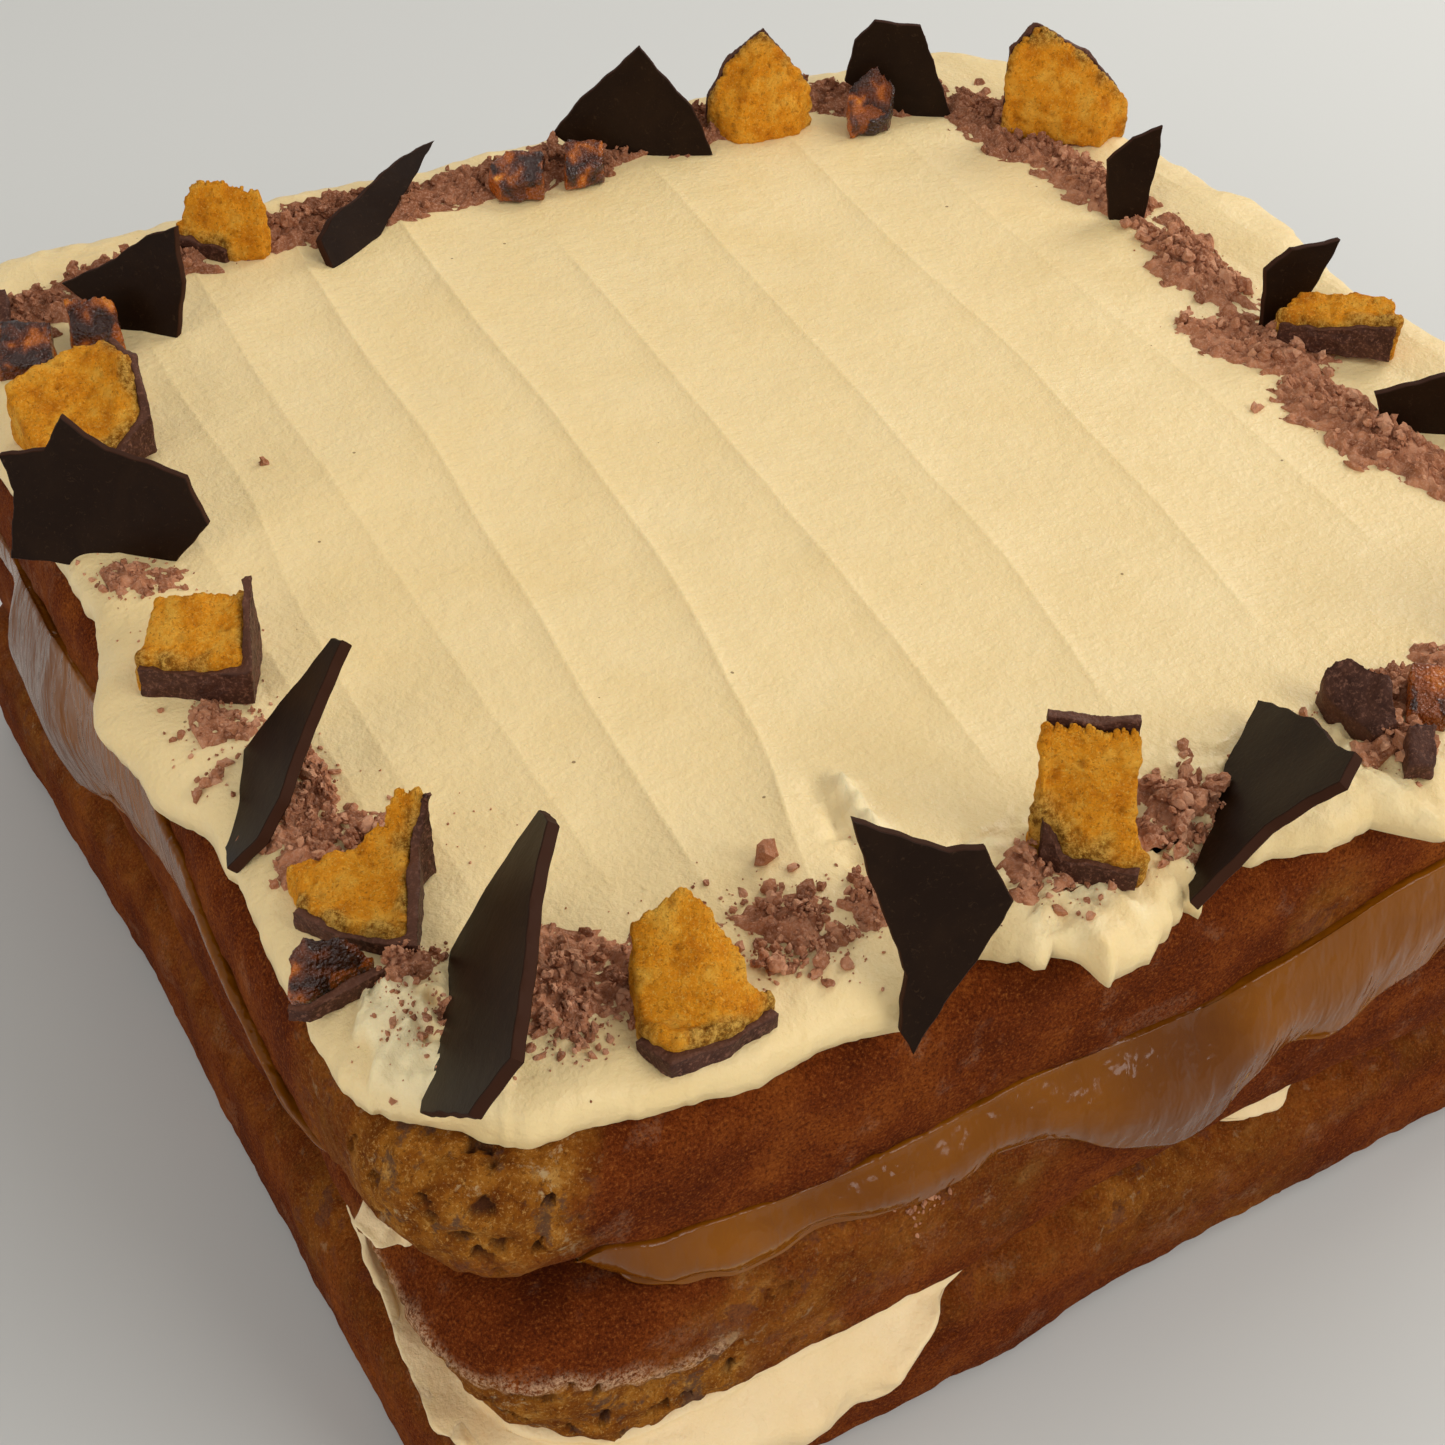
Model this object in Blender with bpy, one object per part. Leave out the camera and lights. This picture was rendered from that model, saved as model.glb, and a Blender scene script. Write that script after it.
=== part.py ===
"""Square banoffee cake: three sponges, caramel and cream fillings, frosting and a border of toppings.

The cake stands on z = 0 with its middle on the z axis. +X runs along the front to the right and
+Y along the left side to the back. Sizes below are in millimetres and are scaled by MM.
"""
import math
import random
from collections import namedtuple

import bmesh
import bpy
from mathutils import Matrix, Vector
from mathutils.bvhtree import BVHTree

MM = 0.001
SEED = 11

# ---- the cake's driving sizes ------------------------------------------------------------------
HALF = 115.0                # half of a 230 mm square tin
CORNER = 16.0               # plan radius of the sponges' corners
CLEAR = 0.4                 # gap between pieces that touch
FILL_CLEAR = 0.8            # gap of a filling to the rounded edges that it lies on
CORE = 4.0                  # how far inside the rounded edge a filling's flat part starts

Layer = namedtuple("Layer", "name bottom top top_round bottom_round bulge turn shift seed")
SPONGE_BOTTOM = Layer("sponge_bottom", 0.0, 25.0, 7.0, 4.0, 1.2, 1.4, 0.0, 1)
SPONGE_MIDDLE = Layer("sponge_middle", 29.0, 53.5, 8.0, 3.0, 1.5, 0.7, 2.0, 2)
SPONGE_TOP = Layer("sponge_top", 58.5, 83.5, 7.0, 5.0, 1.2, 0.0, 0.0, 3)
WOBBLE = 0.9                # unevenness of the sponges' sides

# Where the rings of every layer have a column: along the front, along the right and the back, and
# along the left from the back to the front. They are closer together where drips hang.
FRONT_PLACES = (-115, -108, -101, -93, -80, -66, -54, -44, -36, -29, -22, -16, -10, -4, 2, 9, 17,
                26, 38, 54, 72, 90, 100, 108)
PLAIN_PLACES = (-115, -107, -98, -72, -48, -24, 0, 24, 48, 72, 98, 107)
LEFT_PLACES = (-115, -107, -98, -76, -56, -47, -40, -33, -26, -16, 0, 20, 42, 62, 76, 86, 94, 101,
               108)

# How far each filling comes over the edge of the sponge under it, as (place, length) pairs along
# a side. Up to about 11 it still lies on the rounded edge, and beyond that it hangs down the side.
CARAMEL_REACH = {
    "front": ((-115, 5), (-94, 4), (-80, 6.5), (-66, 7.5), (-52, 10), (-36, 8), (-29, 9), (-22, 13),
              (-16, 18), (-10, 22), (-4, 21), (2, 15), (9, 12), (17, 13), (26, 10.5), (46, 8), (115, 7)),
    "right": ((-115, 7), (-72, 9), (-48, 12), (-24, 18), (0, 12), (24, 9), (72, 11), (115, 8)),
    "back": ((-115, 8), (-72, 10), (-48, 12), (-24, 16), (0, 12), (24, 9), (48, 12), (72, 10), (115, 8)),
    "left": ((-115, 5), (-94, 5), (-52, 6.5), (-20, 8), (0, 10), (16, 13), (24, 19), (31, 25), (38, 24), (45, 20),
             (52, 10), (74, 8), (115, 8)),
}
CARAMEL_RISE = {
    "front": ((-115, 5), (2, 6), (17, 9), (35, 13), (58, 15), (86, 12), (115, 7)),
    "right": ((-115, 7), (0, 9), (115, 6)),
    "back": ((-115, 6), (115, 6)),
    "left": ((-115, 5), (115, 6)),
}
CREAM_LOWER_REACH = {
    "front": ((-115, 5), (-104, 6), (-93, 8), (-86, 8.5), (-80, 10.5), (-74, 13.5), (-66, 15), (-57, 13),
              (-50, 9.5), (-43, 6.5), (-36, 4), (-29, 2), (-4, 2), (2, 3), (9, 6), (17, 7), (26, 3), (38, 1),
              (115, 1)),
    "right": ((-115, 1), (-24, 1), (0, 4), (24, 5), (48, 1), (115, 1)),
    "back": ((-115, 1), (-72, 1), (-48, 4), (-24, 4), (0, 1), (115, 1)),
    "left": ((-115, 5), (-101, 4), (-86, 4), (-78, 3), (-66, 2), (-52, 1), (115, 1)),
}
CREAM_UPPER_SHOW = {
    "front": ((-115, 0.2), (-108, 0), (115, 0)),
    "right": ((-115, 0), (115, 0)),
    "back": ((-115, 0), (115, 0)),
    "left": ((-115, 0.2), (-107, 0.6), (-101, 1.0), (-94, 1.0), (-86, 0.7), (-76, 0), (115, 0)),
}

CREAM_FILM = 1.1            # thickness of the cream under the top sponge
CREAM_DAB = 1.4             # how much thicker it is where it comes out
CREAM_THIN = 0.3            # how far the lower cream stands proud where little of it comes out
CREAM_FAT = 3.4             # and how much more where it hangs out
CREAM_FULL = 12.0           # reach at which it is as fat as that
CREAM_RISE = (0.6, 2.0)     # least and most that it comes up over the sponge on top of it
CARAMEL_THIN = 0.5          # how far the caramel stands proud on the rounded edge
CARAMEL_FAT = 2.6           # and how much more in a drip
DRIP_START = 9.0            # reach at which a drip starts to be fatter than the rest
DRIP_FULL = 10.0            # and how much further it is as fat as can be
FOOT = 2.5                  # points of a shard's outline this near its foot are sunk in the frosting
CRUMB_TRIES = 12            # places tried for each crumb of a patch
CRUMB_REACH = 1.4           # how far an uneven crumb may come from its middle, in radii

# ---- frosting ----------------------------------------------------------------------------------
FROSTING_BOTTOM = 83.9
FROSTING_TOP = 90.5
FROSTING_CORNER = 22.0
FROSTING_RIM = 8.0          # width of the rounded rim
# Rings of the rim from the top down: inset from the side, height over the frosting's bottom and
# share of the waves.
RIM_RINGS = ((3.4, 6.1, 0.6), (0.8, 4.2, 0.9), (0.0, 1.8, 1.0), (0.9, 0.0, 1.0))
RIDGE = 0.75                # height of the step that the palette knife leaves at each ridge
# Ridges of the palette knife as their x on the line y = 50 and on the line y = -70.
RIDGES = ((-96, -97), (-84, -89), (-71, -74), (-53, -63), (-31, -45), (-9, -18), (19, 5),
          (48, 34), (68, 60), (90, 84))
RIDGE_LINES_Y = (50.0, -70.0)
STROKE = (0.0, 0.14, 0.6)     # where the columns of one knife stroke lie across its width
FROSTING_ROWS = (-107, -98, -88, -76, -62, -48, -36, -26, -15, -4, 12, 28, 44, 62, 80, 94, 107)
# Waves of the frosting's edge: side, place along it, how far out, half width.
WAVES = (("front", -100, 0.6, 10), ("front", -64, 1.0, 14), ("front", -41, -3.0, 5), ("front", -20, 5.5, 10),
         ("front", -26, 1.0, 4), ("front", -5, -2.5, 5), ("front", 14, 1.5, 10), ("front", 27, 5.5, 6), ("front", 66, 2.0, 12),
         ("front", 92, -2.0, 9), ("left", -72, 0.4, 12), ("left", -30, 3.5, 10), ("left", -15, 5.0, 8),
         ("left", 40, 0.8, 14), ("left", 88, 2.0, 12), ("right", -60, 2.5, 14), ("right", -8, -3.5, 10),
         ("right", 20, 3.0, 12), ("right", 72, -3.0, 12), ("back", -70, 1.5, 12), ("back", -10, -2.0, 14),
         ("back", 60, 1.5, 12))

# ---- toppings ----------------------------------------------------------------------------------
SUNK = 1.3                  # how deep the toppings sit in the frosting
SHARD_SUNK = 3.0
SHARD_THICK = 1.6
COAT_THICK = 1.8

# A shard stands on an upright plane: where its foot is (x, y), the plane's turn about z, how far
# it leans, and its outline along the plane and up it, from the frosting's top.
Shard = namedtuple("Shard", "name foot turn lean outline")
SHARDS = (
    Shard("shard_left_front", (-113.3, -57.0), 67, -40,
          ((0, 0), (7, -2), (19, -2), (21.6, 0), (23.5, 7), (24, 19.5), (21, 22), (14.5, 16),
           (8.6, 11.7), (2.7, 8.8), (-0.7, 4))),
    Shard("shard_near_corner", (-108.1, -105.2), 60, -30,
          ((0, 0), (8, 0.5), (24, 2), (27.5, 7.5), (29.5, 20.4), (24.3, 23.8), (4, 22.3),
           (-9.3, 20.6), (-9.8, 10.6))),
    Shard("shard_front_dark", (-53.5, -117.5), -20, 18,
          ((-5.8, 24.3), (0.7, 21.3), (5.5, 19.1), (9.9, 19), (13.2, 11.9), (7.3, 2.6), (1, -7.2),
           (-0.5, -4), (0.3, 3.5), (-1.6, 9.8))),
    Shard("shard_front_right", (-9.6, -120.1), 45, -42,
          ((36.6, 3), (26.4, 11.5), (24.3, 13.8), (15, 18.5), (11.4, 21.7), (6.8, 19.8), (7.1, 15.2),
           (6, 8.4), (-1.5, 0.4), (2.9, -0.7), (12, 2), (25, 2))),
    Shard("shard_left_middle", (-112.8, 19.6), -30, 12,
          ((1.1, 20.5), (7.2, 15.5), (18.4, 11.3), (21.1, 4.1), (15.8, 1.1), (0, 0), (-9, 1.1),
           (-7.2, 8.8), (-8.6, 14.4), (-1.9, 15.3))),
    Shard("shard_left_back", (-78.1, 73.5), -45, 12,
          ((0.6, 17.6), (-4.3, 15.6), (-11.2, 10.3), (-21.2, 4.8), (-9, 0.2), (0, 0), (1.7, 8.2))),
    Shard("shard_back_thin", (-47.2, 84.5), 30, 30,
          ((0, 0), (14, 1), (30, 4), (37.9, 7.2), (27.8, 7.7), (13.7, 5.8), (5.5, 5.3), (0.8, 3.2))),
    Shard("shard_back_middle", (23.8, 96.2), -25, 10,
          ((-0.9, 19.7), (9, 8.1), (12.9, 1.7), (0, 0), (-11, 0.5), (-17.9, 3.5), (-12.5, 10))),
    Shard("shard_far_corner", (87.5, 84.3), -30, 8,
          ((-16.7, 16.9), (-7.6, 16), (0, 0), (-12, 0.5), (-22.2, 4.9), (-20.5, 12.9))),
    Shard("shard_right_back", (92.0, 31.6), -30, 10,
          ((4.3, 15.6), (4.3, 10.2), (2.5, 0), (-3.8, 1), (-5.2, 9), (-0.8, 13.3))),
    Shard("shard_right_middle", (90.1, -12.3), -20, 10,
          ((10, 13.2), (5.9, 4.3), (3, 0), (-2.6, 0), (-2.7, 8.5), (1.5, 12))),
    Shard("shard_right_leaf", (85.2, -47.3), -30, 10,
          ((-3.3, 4.4), (7.4, 7.9), (16, 6), (20, 1), (8, 0), (0, 0))),
    Shard("shard_right_front", (96.0, -72.0), -62, 14,
          ((0, 0), (15, 0), (19, 8), (12, 19), (5, 15), (-3, 6))),
    Shard("shard_right_corner", (99.0, -110.0), 35, -24,
          ((0, 0), (16, 1), (19, 9), (9, 21), (2, 16), (-4, 7))),
    Shard("shard_front_far", (60.0, -108.0), -18, 16,
          ((0, 0), (13, 0), (17, 9), (11, 21), (3, 23), (-2, 9))),
)

# A chunk is a block of honeycomb or toffee: its middle (x, y), its corners seen from above and
# the height of its top over each corner. A coat is the chocolate along some of the corners.
Chunk = namedtuple("Chunk", "name middle corners coat", defaults=((),))
HONEYCOMB = (
    Chunk("honeycomb_left", (-105, -17),
          ((-8.5, -0.1, 4.5), (-1.7, -5.5, 4.5), (2.8, -7.9, 5), (6.9, 0.6, 9), (4.5, 2.1, 9.5),
           (0.5, 3.3, 9.5), (-3.1, 7, 8)),
          ((0, 4.3), (1, 4.3), (2, 5.5), (3, 13))),
    Chunk("honeycomb_near_left", (-101, -70),
          ((-6.1, -6.3, 1.5), (-0.9, -11.1, 2), (4.4, 0.2, 5), (7.5, 1.6, 12), (5.4, 3.2, 12),
           (3, 2.2, 10), (1.8, 2.4, 8), (-1.3, 2.4, 5), (-8.8, 6, 3), (-9.5, 0, 2)),
          ((9, 2.5), (0, 2), (1, 3), (2, 6.5), (3, 13))),
    Chunk("honeycomb_near_front", (-76, -107),
          ((-7, -1, 2), (-5.4, -5.4, 2.5), (0.3, -5.8, 2), (7.4, -4.2, 2), (5.3, -2.6, 5),
           (5.6, -1.3, 8), (4.4, 0.8, 10), (3.2, 2.8, 13), (1.4, 5.4, 15), (-4.7, 6.4, 11),
           (-6.2, 2.4, 7)),
          ((0, 1.6), (1, 1.8), (2, 1.6), (3, 1.6))),
    Chunk("honeycomb_front", (-20, -108),
          ((-3.1, 0.4, 2.5), (4, -5.9, 2.5), (4.4, -3, 8), (4.8, -1.8, 14), (5.3, -0.7, 20),
           (1.3, 1.9, 20), (-4.3, 6.3, 20), (-6, 3.2, 12), (-3.6, 2.2, 6)),
          ((7, 9), (8, 6), (0, 3), (1, 2.4))),
    Chunk("honeycomb_left_back", (-101, 47),
          ((-9.8, -4.8, 3), (0.9, -8.3, 3), (6.1, -6.2, 5), (7, -0.4, 12), (5.4, 6.3, 12),
           (1.3, 7.8, 12), (-10.9, 7, 9)),
          ((0, 2.4), (1, 3), (2, 6.5), (3, 13), (4, 13))),
    Chunk("honeycomb_back_left", (-60, 96),
          ((-8.1, 5.1, 4), (-1.3, -2.3, 3), (3.4, -4.8, 3), (5.7, -2.7, 7), (5.5, -0.6, 10),
           (-0.3, 3.2, 12), (-4.6, 5.8, 11)),
          ((0, 3.4), (1, 2.2))),
    Chunk("honeycomb_back_right", (48, 95),
          ((-6, -3.3, 2), (6, -5.5, 3), (10.2, -2.1, 7), (2.3, 2.2, 18), (-3.4, 5, 12),
           (-8.4, 3.5, 6)),
          ((2, 8), (3, 19), (4, 13), (5, 7))),
    Chunk("honeycomb_right_back", (100, 65),
          ((-0.8, -3.6, 2), (4.2, -7.2, 3), (11, -4.9, 6), (4.6, -0.4, 14), (-4.2, 5.5, 20),
           (-9.4, 6, 15), (-7.1, 2.9, 9)),
          ((2, 7), (3, 15), (4, 21), (5, 16))),
    Chunk("honeycomb_right", (93, -25),
          ((-5.9, 8, 3.5), (-2.2, 2.5, 4.5), (6.9, -5.9, 6), (9, -2, 7.5), (3, 4.5, 7), (-2, 9, 6)),
          ((0, 3.2), (1, 4), (2, 6))),
    Chunk("honeycomb_right_front", (100, -94),
          ((-8, -3, 3), (0, -7, 3), (7, -4, 6), (8, 3, 12), (1, 7, 14), (-6, 4, 9)),
          ((0, 2.6), (1, 3), (2, 7), (3, 13))),
    Chunk("honeycomb_front_far", (84, -106),
          ((-7, -2, 2.5), (-1, -6, 3), (6, -3, 4), (6, 4, 12), (-1, 6, 15), (-7, 3, 9)),
          ((0, 2), (1, 2.6), (2, 3))),
)
# The upright honeycomb at the front is coated on its back as well.
BACK_COAT = HONEYCOMB[3]._replace(name="honeycomb_front_back", coat=((4, 20.6), (5, 20.6), (6, 20.6)))
TOFFEE = (
    Chunk("toffee_near_left", (-112, -81.5),
          ((-3.5, -2.8, 1.5), (6, -1.8, 2), (3.3, -0.6, 6), (-1, 0.6, 7), (-1.6, 1.4, 7),
           (-3.8, 0.7, 5), (-5.4, -1.6, 2)),
          ((6, 1.2), (0, 1.4), (1, 2))),
    Chunk("toffee_left_back_a", (-106, 88),
          ((-4, -3, 2), (2.5, -4.2, 2), (4, 2, 6), (-1, 5.5, 6))),
    Chunk("toffee_left_back_b", (-104, 74),
          ((-5.5, -2.5, 2), (3, -5, 2), (5.5, 1.5, 6), (-2, 5, 6))),
    Chunk("toffee_left_back_c", (-92, 75),
          ((-4.5, -1.6, 3), (4, -3.5, 3), (4.5, 0.5, 8), (-3.5, 3, 8))),
    Chunk("toffee_back_a", (-4, 93),
          ((-6, -2, 2), (2, -4.5, 3), (5, 1, 6), (-1, 5, 6), (-5.5, 3.5, 4))),
    Chunk("toffee_back_b", (8, 93),
          ((-5, -3.5, 2), (3, -4, 3), (5, 0, 6), (-1, 3.5, 6))),
    Chunk("toffee_back_right", (69, 86),
          ((-6.5, -2.5, 2), (2, -3.5, 2), (4.3, -1.2, 8), (2.8, 4, 10), (-3, 4.6, 6))),
    Chunk("toffee_front_dark", (29, -103),
          ((-2.8, 3, 2), (-2.4, -5.4, 2), (1, -6.4, 4), (3.6, -0.6, 7), (1, 5, 7), (-2, 6.1, 5))),
    Chunk("toffee_front_amber", (38, -106),
          ((-3.4, -1, 2), (0.4, -4.6, 2), (4.5, 0.9, 6), (0.1, 4.1, 6))),
    Chunk("toffee_front_crumb", (30, -113.5),
          ((-3.1, -1.4, 1.5), (0.7, -3, 1.5), (3.5, 0.6, 5), (-0.5, 2, 5))),
    Chunk("toffee_right_front", (88, -92),
          ((-4, -3, 2), (2, -4, 3), (4.5, 1.5, 7), (-1.5, 3.5, 6))),
)

# Patches of chocolate crumbs on the frosting: lowest and highest x and y, and how many.
CRUMB_PATCHES = (
    (-113, 0, -100, 12, 4), (-110, -35, -98, -24, 5), (-106, -50, -95, -40, 3), (-106, -66, -97, -56, 4),
    (-104, -88, -96, -84, 3), (-97, -104, -82, -92, 5), (-66, -106, -50, -94, 6), (-50, -106, -43, -96, 3),
    (-31, -113, -26, -101, 3), (-9, -114, 9, -100, 7), (20, -112, 48, -94, 5), (-90, 93, -68, 104, 2),
    (-46, 94, -16, 106, 3), (14, 96, 62, 108, 3), (84, 40, 94, 84, 5), (88, 6, 96, 30, 3),
    (78, -20, 88, 0, 3), (76, -70, 88, -30, 4), (72, -112, 96, -86, 2),
)
CRUMB_SIZE = (1.5, 2.6)     # radius of a crumb
CRUMB_SUNK = 0.3            # part of its radius that a crumb's middle lies below the surface


# ---- helpers -----------------------------------------------------------------------------------
def clear_scene():
    for item in list(bpy.data.objects):
        bpy.data.objects.remove(item, do_unlink=True)


def make_collection(name):
    collection = bpy.data.collections.new(name)
    bpy.context.scene.collection.children.link(collection)
    return collection


def make_material(name, colour, roughness):
    material = bpy.data.materials.new(name)
    material.use_nodes = True
    shader = material.node_tree.nodes["Principled BSDF"]
    shader.inputs["Base Color"].default_value = (*colour, 1.0)
    shader.inputs["Roughness"].default_value = roughness
    shader.inputs["Metallic"].default_value = 0.0
    return material


def add_object(name, mesh, collection, material):
    item = bpy.data.objects.new(name, mesh)
    item.data.materials.append(material)
    collection.objects.link(item)
    return item


def mesh_from(bm, name):
    bmesh.ops.recalc_face_normals(bm, faces=bm.faces)
    if bm.calc_volume(signed=True) < 0:
        bmesh.ops.reverse_faces(bm, faces=bm.faces)
    mesh = bpy.data.meshes.new(name)
    bm.to_mesh(mesh)
    bm.free()
    return mesh


def smooth(item):
    for face in item.data.polygons:
        face.use_smooth = True


def follow(table, place):
    """Value at a place, on the straight lines between a table's (place, value) pairs."""
    for (a, low), (b, high) in zip(table, table[1:]):
        if place <= b:
            return low + (high - low) * max(place - a, 0.0) / (b - a)
    return table[-1][1]


def side_of(x, y):
    """Name of the side that a point of the square lies on, and how far along that side it is."""
    if abs(y) >= abs(x):
        return ("front" if y < 0 else "back"), x
    return ("left" if x < 0 else "right"), y


def around(sides, x, y):
    side, place = side_of(x, y)
    return follow(sides[side], place)


def rounded(x, y, half, radius):
    """Moves a point of a square with this half width onto the same square with round corners."""
    flat = half - radius
    if abs(x) <= flat or abs(y) <= flat:
        return x, y
    u = (abs(x) - flat) / radius
    v = (abs(y) - flat) / radius
    across = flat + radius * u * math.sqrt(1 - v * v / 2)
    along = flat + radius * v * math.sqrt(1 - u * u / 2)
    return math.copysign(across, x), math.copysign(along, y)


def loft(rings, name, falling=False):
    """Closed mesh through rings of points, with a flat cap on the first and the last ring.

    Each quad is split from its lower corner at one column to its upper corner at the next, so that
    two lofts that lie on each other fold alike. Falling says that the rings run downwards.
    """
    bm = bmesh.new()
    rows = [[bm.verts.new(point) for point in ring] for ring in rings]
    count = len(rows[0])
    for low, high in zip(rows, rows[1:]):
        for i in range(count):
            j = (i + 1) % count
            if falling:
                bm.faces.new((low[i], low[j], high[i]))
                bm.faces.new((low[j], high[j], high[i]))
            else:
                bm.faces.new((low[i], low[j], high[j]))
                bm.faces.new((low[i], high[j], high[i]))
    bm.faces.new(rows[0])
    bm.faces.new(rows[-1])
    return mesh_from(bm, name)


# ---- sponges and fillings ----------------------------------------------------------------------
def square_places():
    """Points of the square with half width HALF, in order round it."""
    front = [(s, -HALF) for s in FRONT_PLACES]
    right = [(HALF, s) for s in PLAIN_PLACES]
    back = [(-s, HALF) for s in PLAIN_PLACES]
    left = [(-HALF, -s) for s in LEFT_PLACES]
    return front + right + back + left


def wobble(x, y, seed):
    angle = math.atan2(y, x)
    return WOBBLE * (0.6 * math.sin(3 * angle + seed) + 0.5 * math.sin(7 * angle + 2.3 * seed)
                     + 0.3 * math.sin(11 * angle + 4.1 * seed))


def plan_point(layer, x, y, inset, z):
    """Point of a layer at a height z, an inset in from its side."""
    half = HALF - inset + wobble(x, y, layer.seed)
    px, py = rounded(x * half / HALF, y * half / HALF, half, max(CORNER - inset, 3.0))
    turn = math.radians(layer.turn)
    return Vector((px * math.cos(turn) - py * math.sin(turn) + layer.shift,
                   px * math.sin(turn) + py * math.cos(turn), z)) * MM


def skin_point(layer, x, y, edge, path, out):
    """Point off a layer's skin. The path starts at the flat face (edge 1: top, -1: bottom), goes
    round the rounded edge and on along the side; out is the distance from the skin."""
    radius = layer.top_round if edge > 0 else layer.bottom_round
    face = layer.top if edge > 0 else layer.bottom
    arc = radius * math.pi / 2
    tilt = math.pi / 2 - min(max(path, 0.0), arc) / radius
    inset = radius * (1 - math.cos(tilt)) - min(path, 0.0)
    depth = radius * (1 - math.sin(tilt)) + max(path - arc, 0.0)
    z = face - edge * depth
    inset -= layer.bulge * math.sin(math.pi * (z - layer.bottom) / (layer.top - layer.bottom))
    inset -= out * math.cos(tilt)
    z += edge * out * math.sin(tilt)
    return plan_point(layer, x, y, inset, z)


def build_sponge(layer, collection, material):
    rings = []
    for edge, radius in ((-1, layer.bottom_round), (1, layer.top_round)):
        paths = [radius * math.pi / 4 * step for step in (0, 1, 2)]
        for path in paths if edge < 0 else reversed(paths):
            rings.append([skin_point(layer, x, y, edge, path, 0.0) for x, y in square_places()])
    item = add_object(layer.name, loft(rings, layer.name), collection, material)
    smooth(item)


def filling_section(under, over, x, y, reach, rise, proud, lid):
    """Points round a filling's edge, from its flat underside up to the flat face over it."""
    arc = under.top_round * math.pi / 2
    bend = min(arc, 0.85 * reach)
    points = [skin_point(under, x, y, 1, path, FILL_CLEAR) for path in (0.0, 0.5 * bend, bend, reach)]
    crest = max(min(reach, arc), 0.5)
    points.append(skin_point(under, x, y, 1, reach, FILL_CLEAR + 0.45 * proud))
    points.append(skin_point(under, x, y, 1, 0.5 * (reach + crest), FILL_CLEAR + proud))
    points.append(skin_point(over, x, y, -1, 0.9 * rise, lid + 0.9 * proud))
    turned = min(0.85 * rise, over.bottom_round * math.pi / 2)
    points += [skin_point(over, x, y, -1, path, lid) for path in (rise, turned, 0.5 * turned)]
    return points


def build_caramel(collection, material):
    sections = []
    for x, y in square_places():
        show = around(CREAM_UPPER_SHOW, x, y)
        under_film = CLEAR + CREAM_FILM + FILL_CLEAR
        lid = FILL_CLEAR + (under_film + CREAM_DAB - CLEAR) * min(3.0 * show, 1.0)
        reach = around(CARAMEL_REACH, x, y)
        rise = around(CARAMEL_RISE, x, y)
        proud = CARAMEL_THIN + CARAMEL_FAT * min(max(reach - DRIP_START, 0.0) / DRIP_FULL, 1.0)
        section = filling_section(SPONGE_MIDDLE, SPONGE_TOP, x, y, reach, rise, proud, lid)
        section += [skin_point(SPONGE_TOP, x, y, -1, path, max(under_film, lid)) for path in (0.5, -CORE)]
        sections.append(section)
    rings = [list(ring) for ring in zip(*sections)]
    item = add_object("caramel", loft(rings, "caramel", falling=True), collection, material)
    smooth(item)


def build_cream_lower(collection, material):
    sections = []
    for x, y in square_places():
        reach = around(CREAM_LOWER_REACH, x, y)
        rise = min(max(0.45 * reach, CREAM_RISE[0]), CREAM_RISE[1])
        proud = CREAM_THIN + CREAM_FAT * min(reach / CREAM_FULL, 1.0)
        section = filling_section(SPONGE_BOTTOM, SPONGE_MIDDLE, x, y, reach, rise, proud, FILL_CLEAR)
        section.append(skin_point(SPONGE_MIDDLE, x, y, -1, 0.0, CLEAR))
        sections.append(section)
    rings = [list(ring) for ring in zip(*sections)]
    item = add_object("cream_lower", loft(rings, "cream_lower", falling=True), collection, material)
    smooth(item)


def build_cream_upper(collection, material):
    """Film of cream under the top sponge, which comes out only at the near left corner."""
    sections = []
    for x, y in square_places():
        show = around(CREAM_UPPER_SHOW, x, y)
        reach = -1.0 + 8.0 * show
        thick = CREAM_FILM + CREAM_DAB * show
        halfway = 0.5 * (reach - 1.0)
        gap = (FILL_CLEAR - CLEAR) * show
        corners = ((-1.5, CREAM_FILM), (halfway, thick), (reach, thick), (reach, gap), (halfway, gap),
                   (-1.5, 0.0))
        sections.append([skin_point(SPONGE_TOP, x, y, -1, path, CLEAR + below) for path, below in corners])
    rings = [list(ring) for ring in zip(*sections)]
    item = add_object("cream_upper", loft(rings, "cream_upper", falling=True), collection, material)
    smooth(item)


# ---- frosting ----------------------------------------------------------------------------------
def ridge_x(ridge, y):
    top, low = ridge
    share = (y - RIDGE_LINES_Y[1]) / (RIDGE_LINES_Y[0] - RIDGE_LINES_Y[1])
    return low + (top - low) * share


def frosting_columns(y, inner):
    """The x of each column of the frosting's top in a row, and its height over the mean top."""
    lines = [-inner] + [ridge_x(ridge, y) for ridge in RIDGES] + [inner]
    columns = []
    for left, right in zip(lines, lines[1:]):
        for share in STROKE:
            lift = RIDGE * (0.5 - share) if share > 0 else -0.5 * RIDGE
            columns.append((left + (right - left) * share, lift))
    columns.append((inner, 0.0))
    return columns


def wave(x, y):
    side, place = side_of(x, y)
    return sum(out * math.exp(-((place - middle) / width) ** 2)
               for wave_side, middle, out, width in WAVES if wave_side == side)


def frosting_rim_point(x, y, inner, inset, z, share):
    """Point of the rim, for a point (x, y) on the edge of the frosting's flat top."""
    half = HALF - inset + share * wave(x * HALF / inner, y * HALF / inner)
    px, py = rounded(x * half / inner, y * half / inner, half, FROSTING_CORNER - inset)
    return Vector((px, py, z)) * MM


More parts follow.
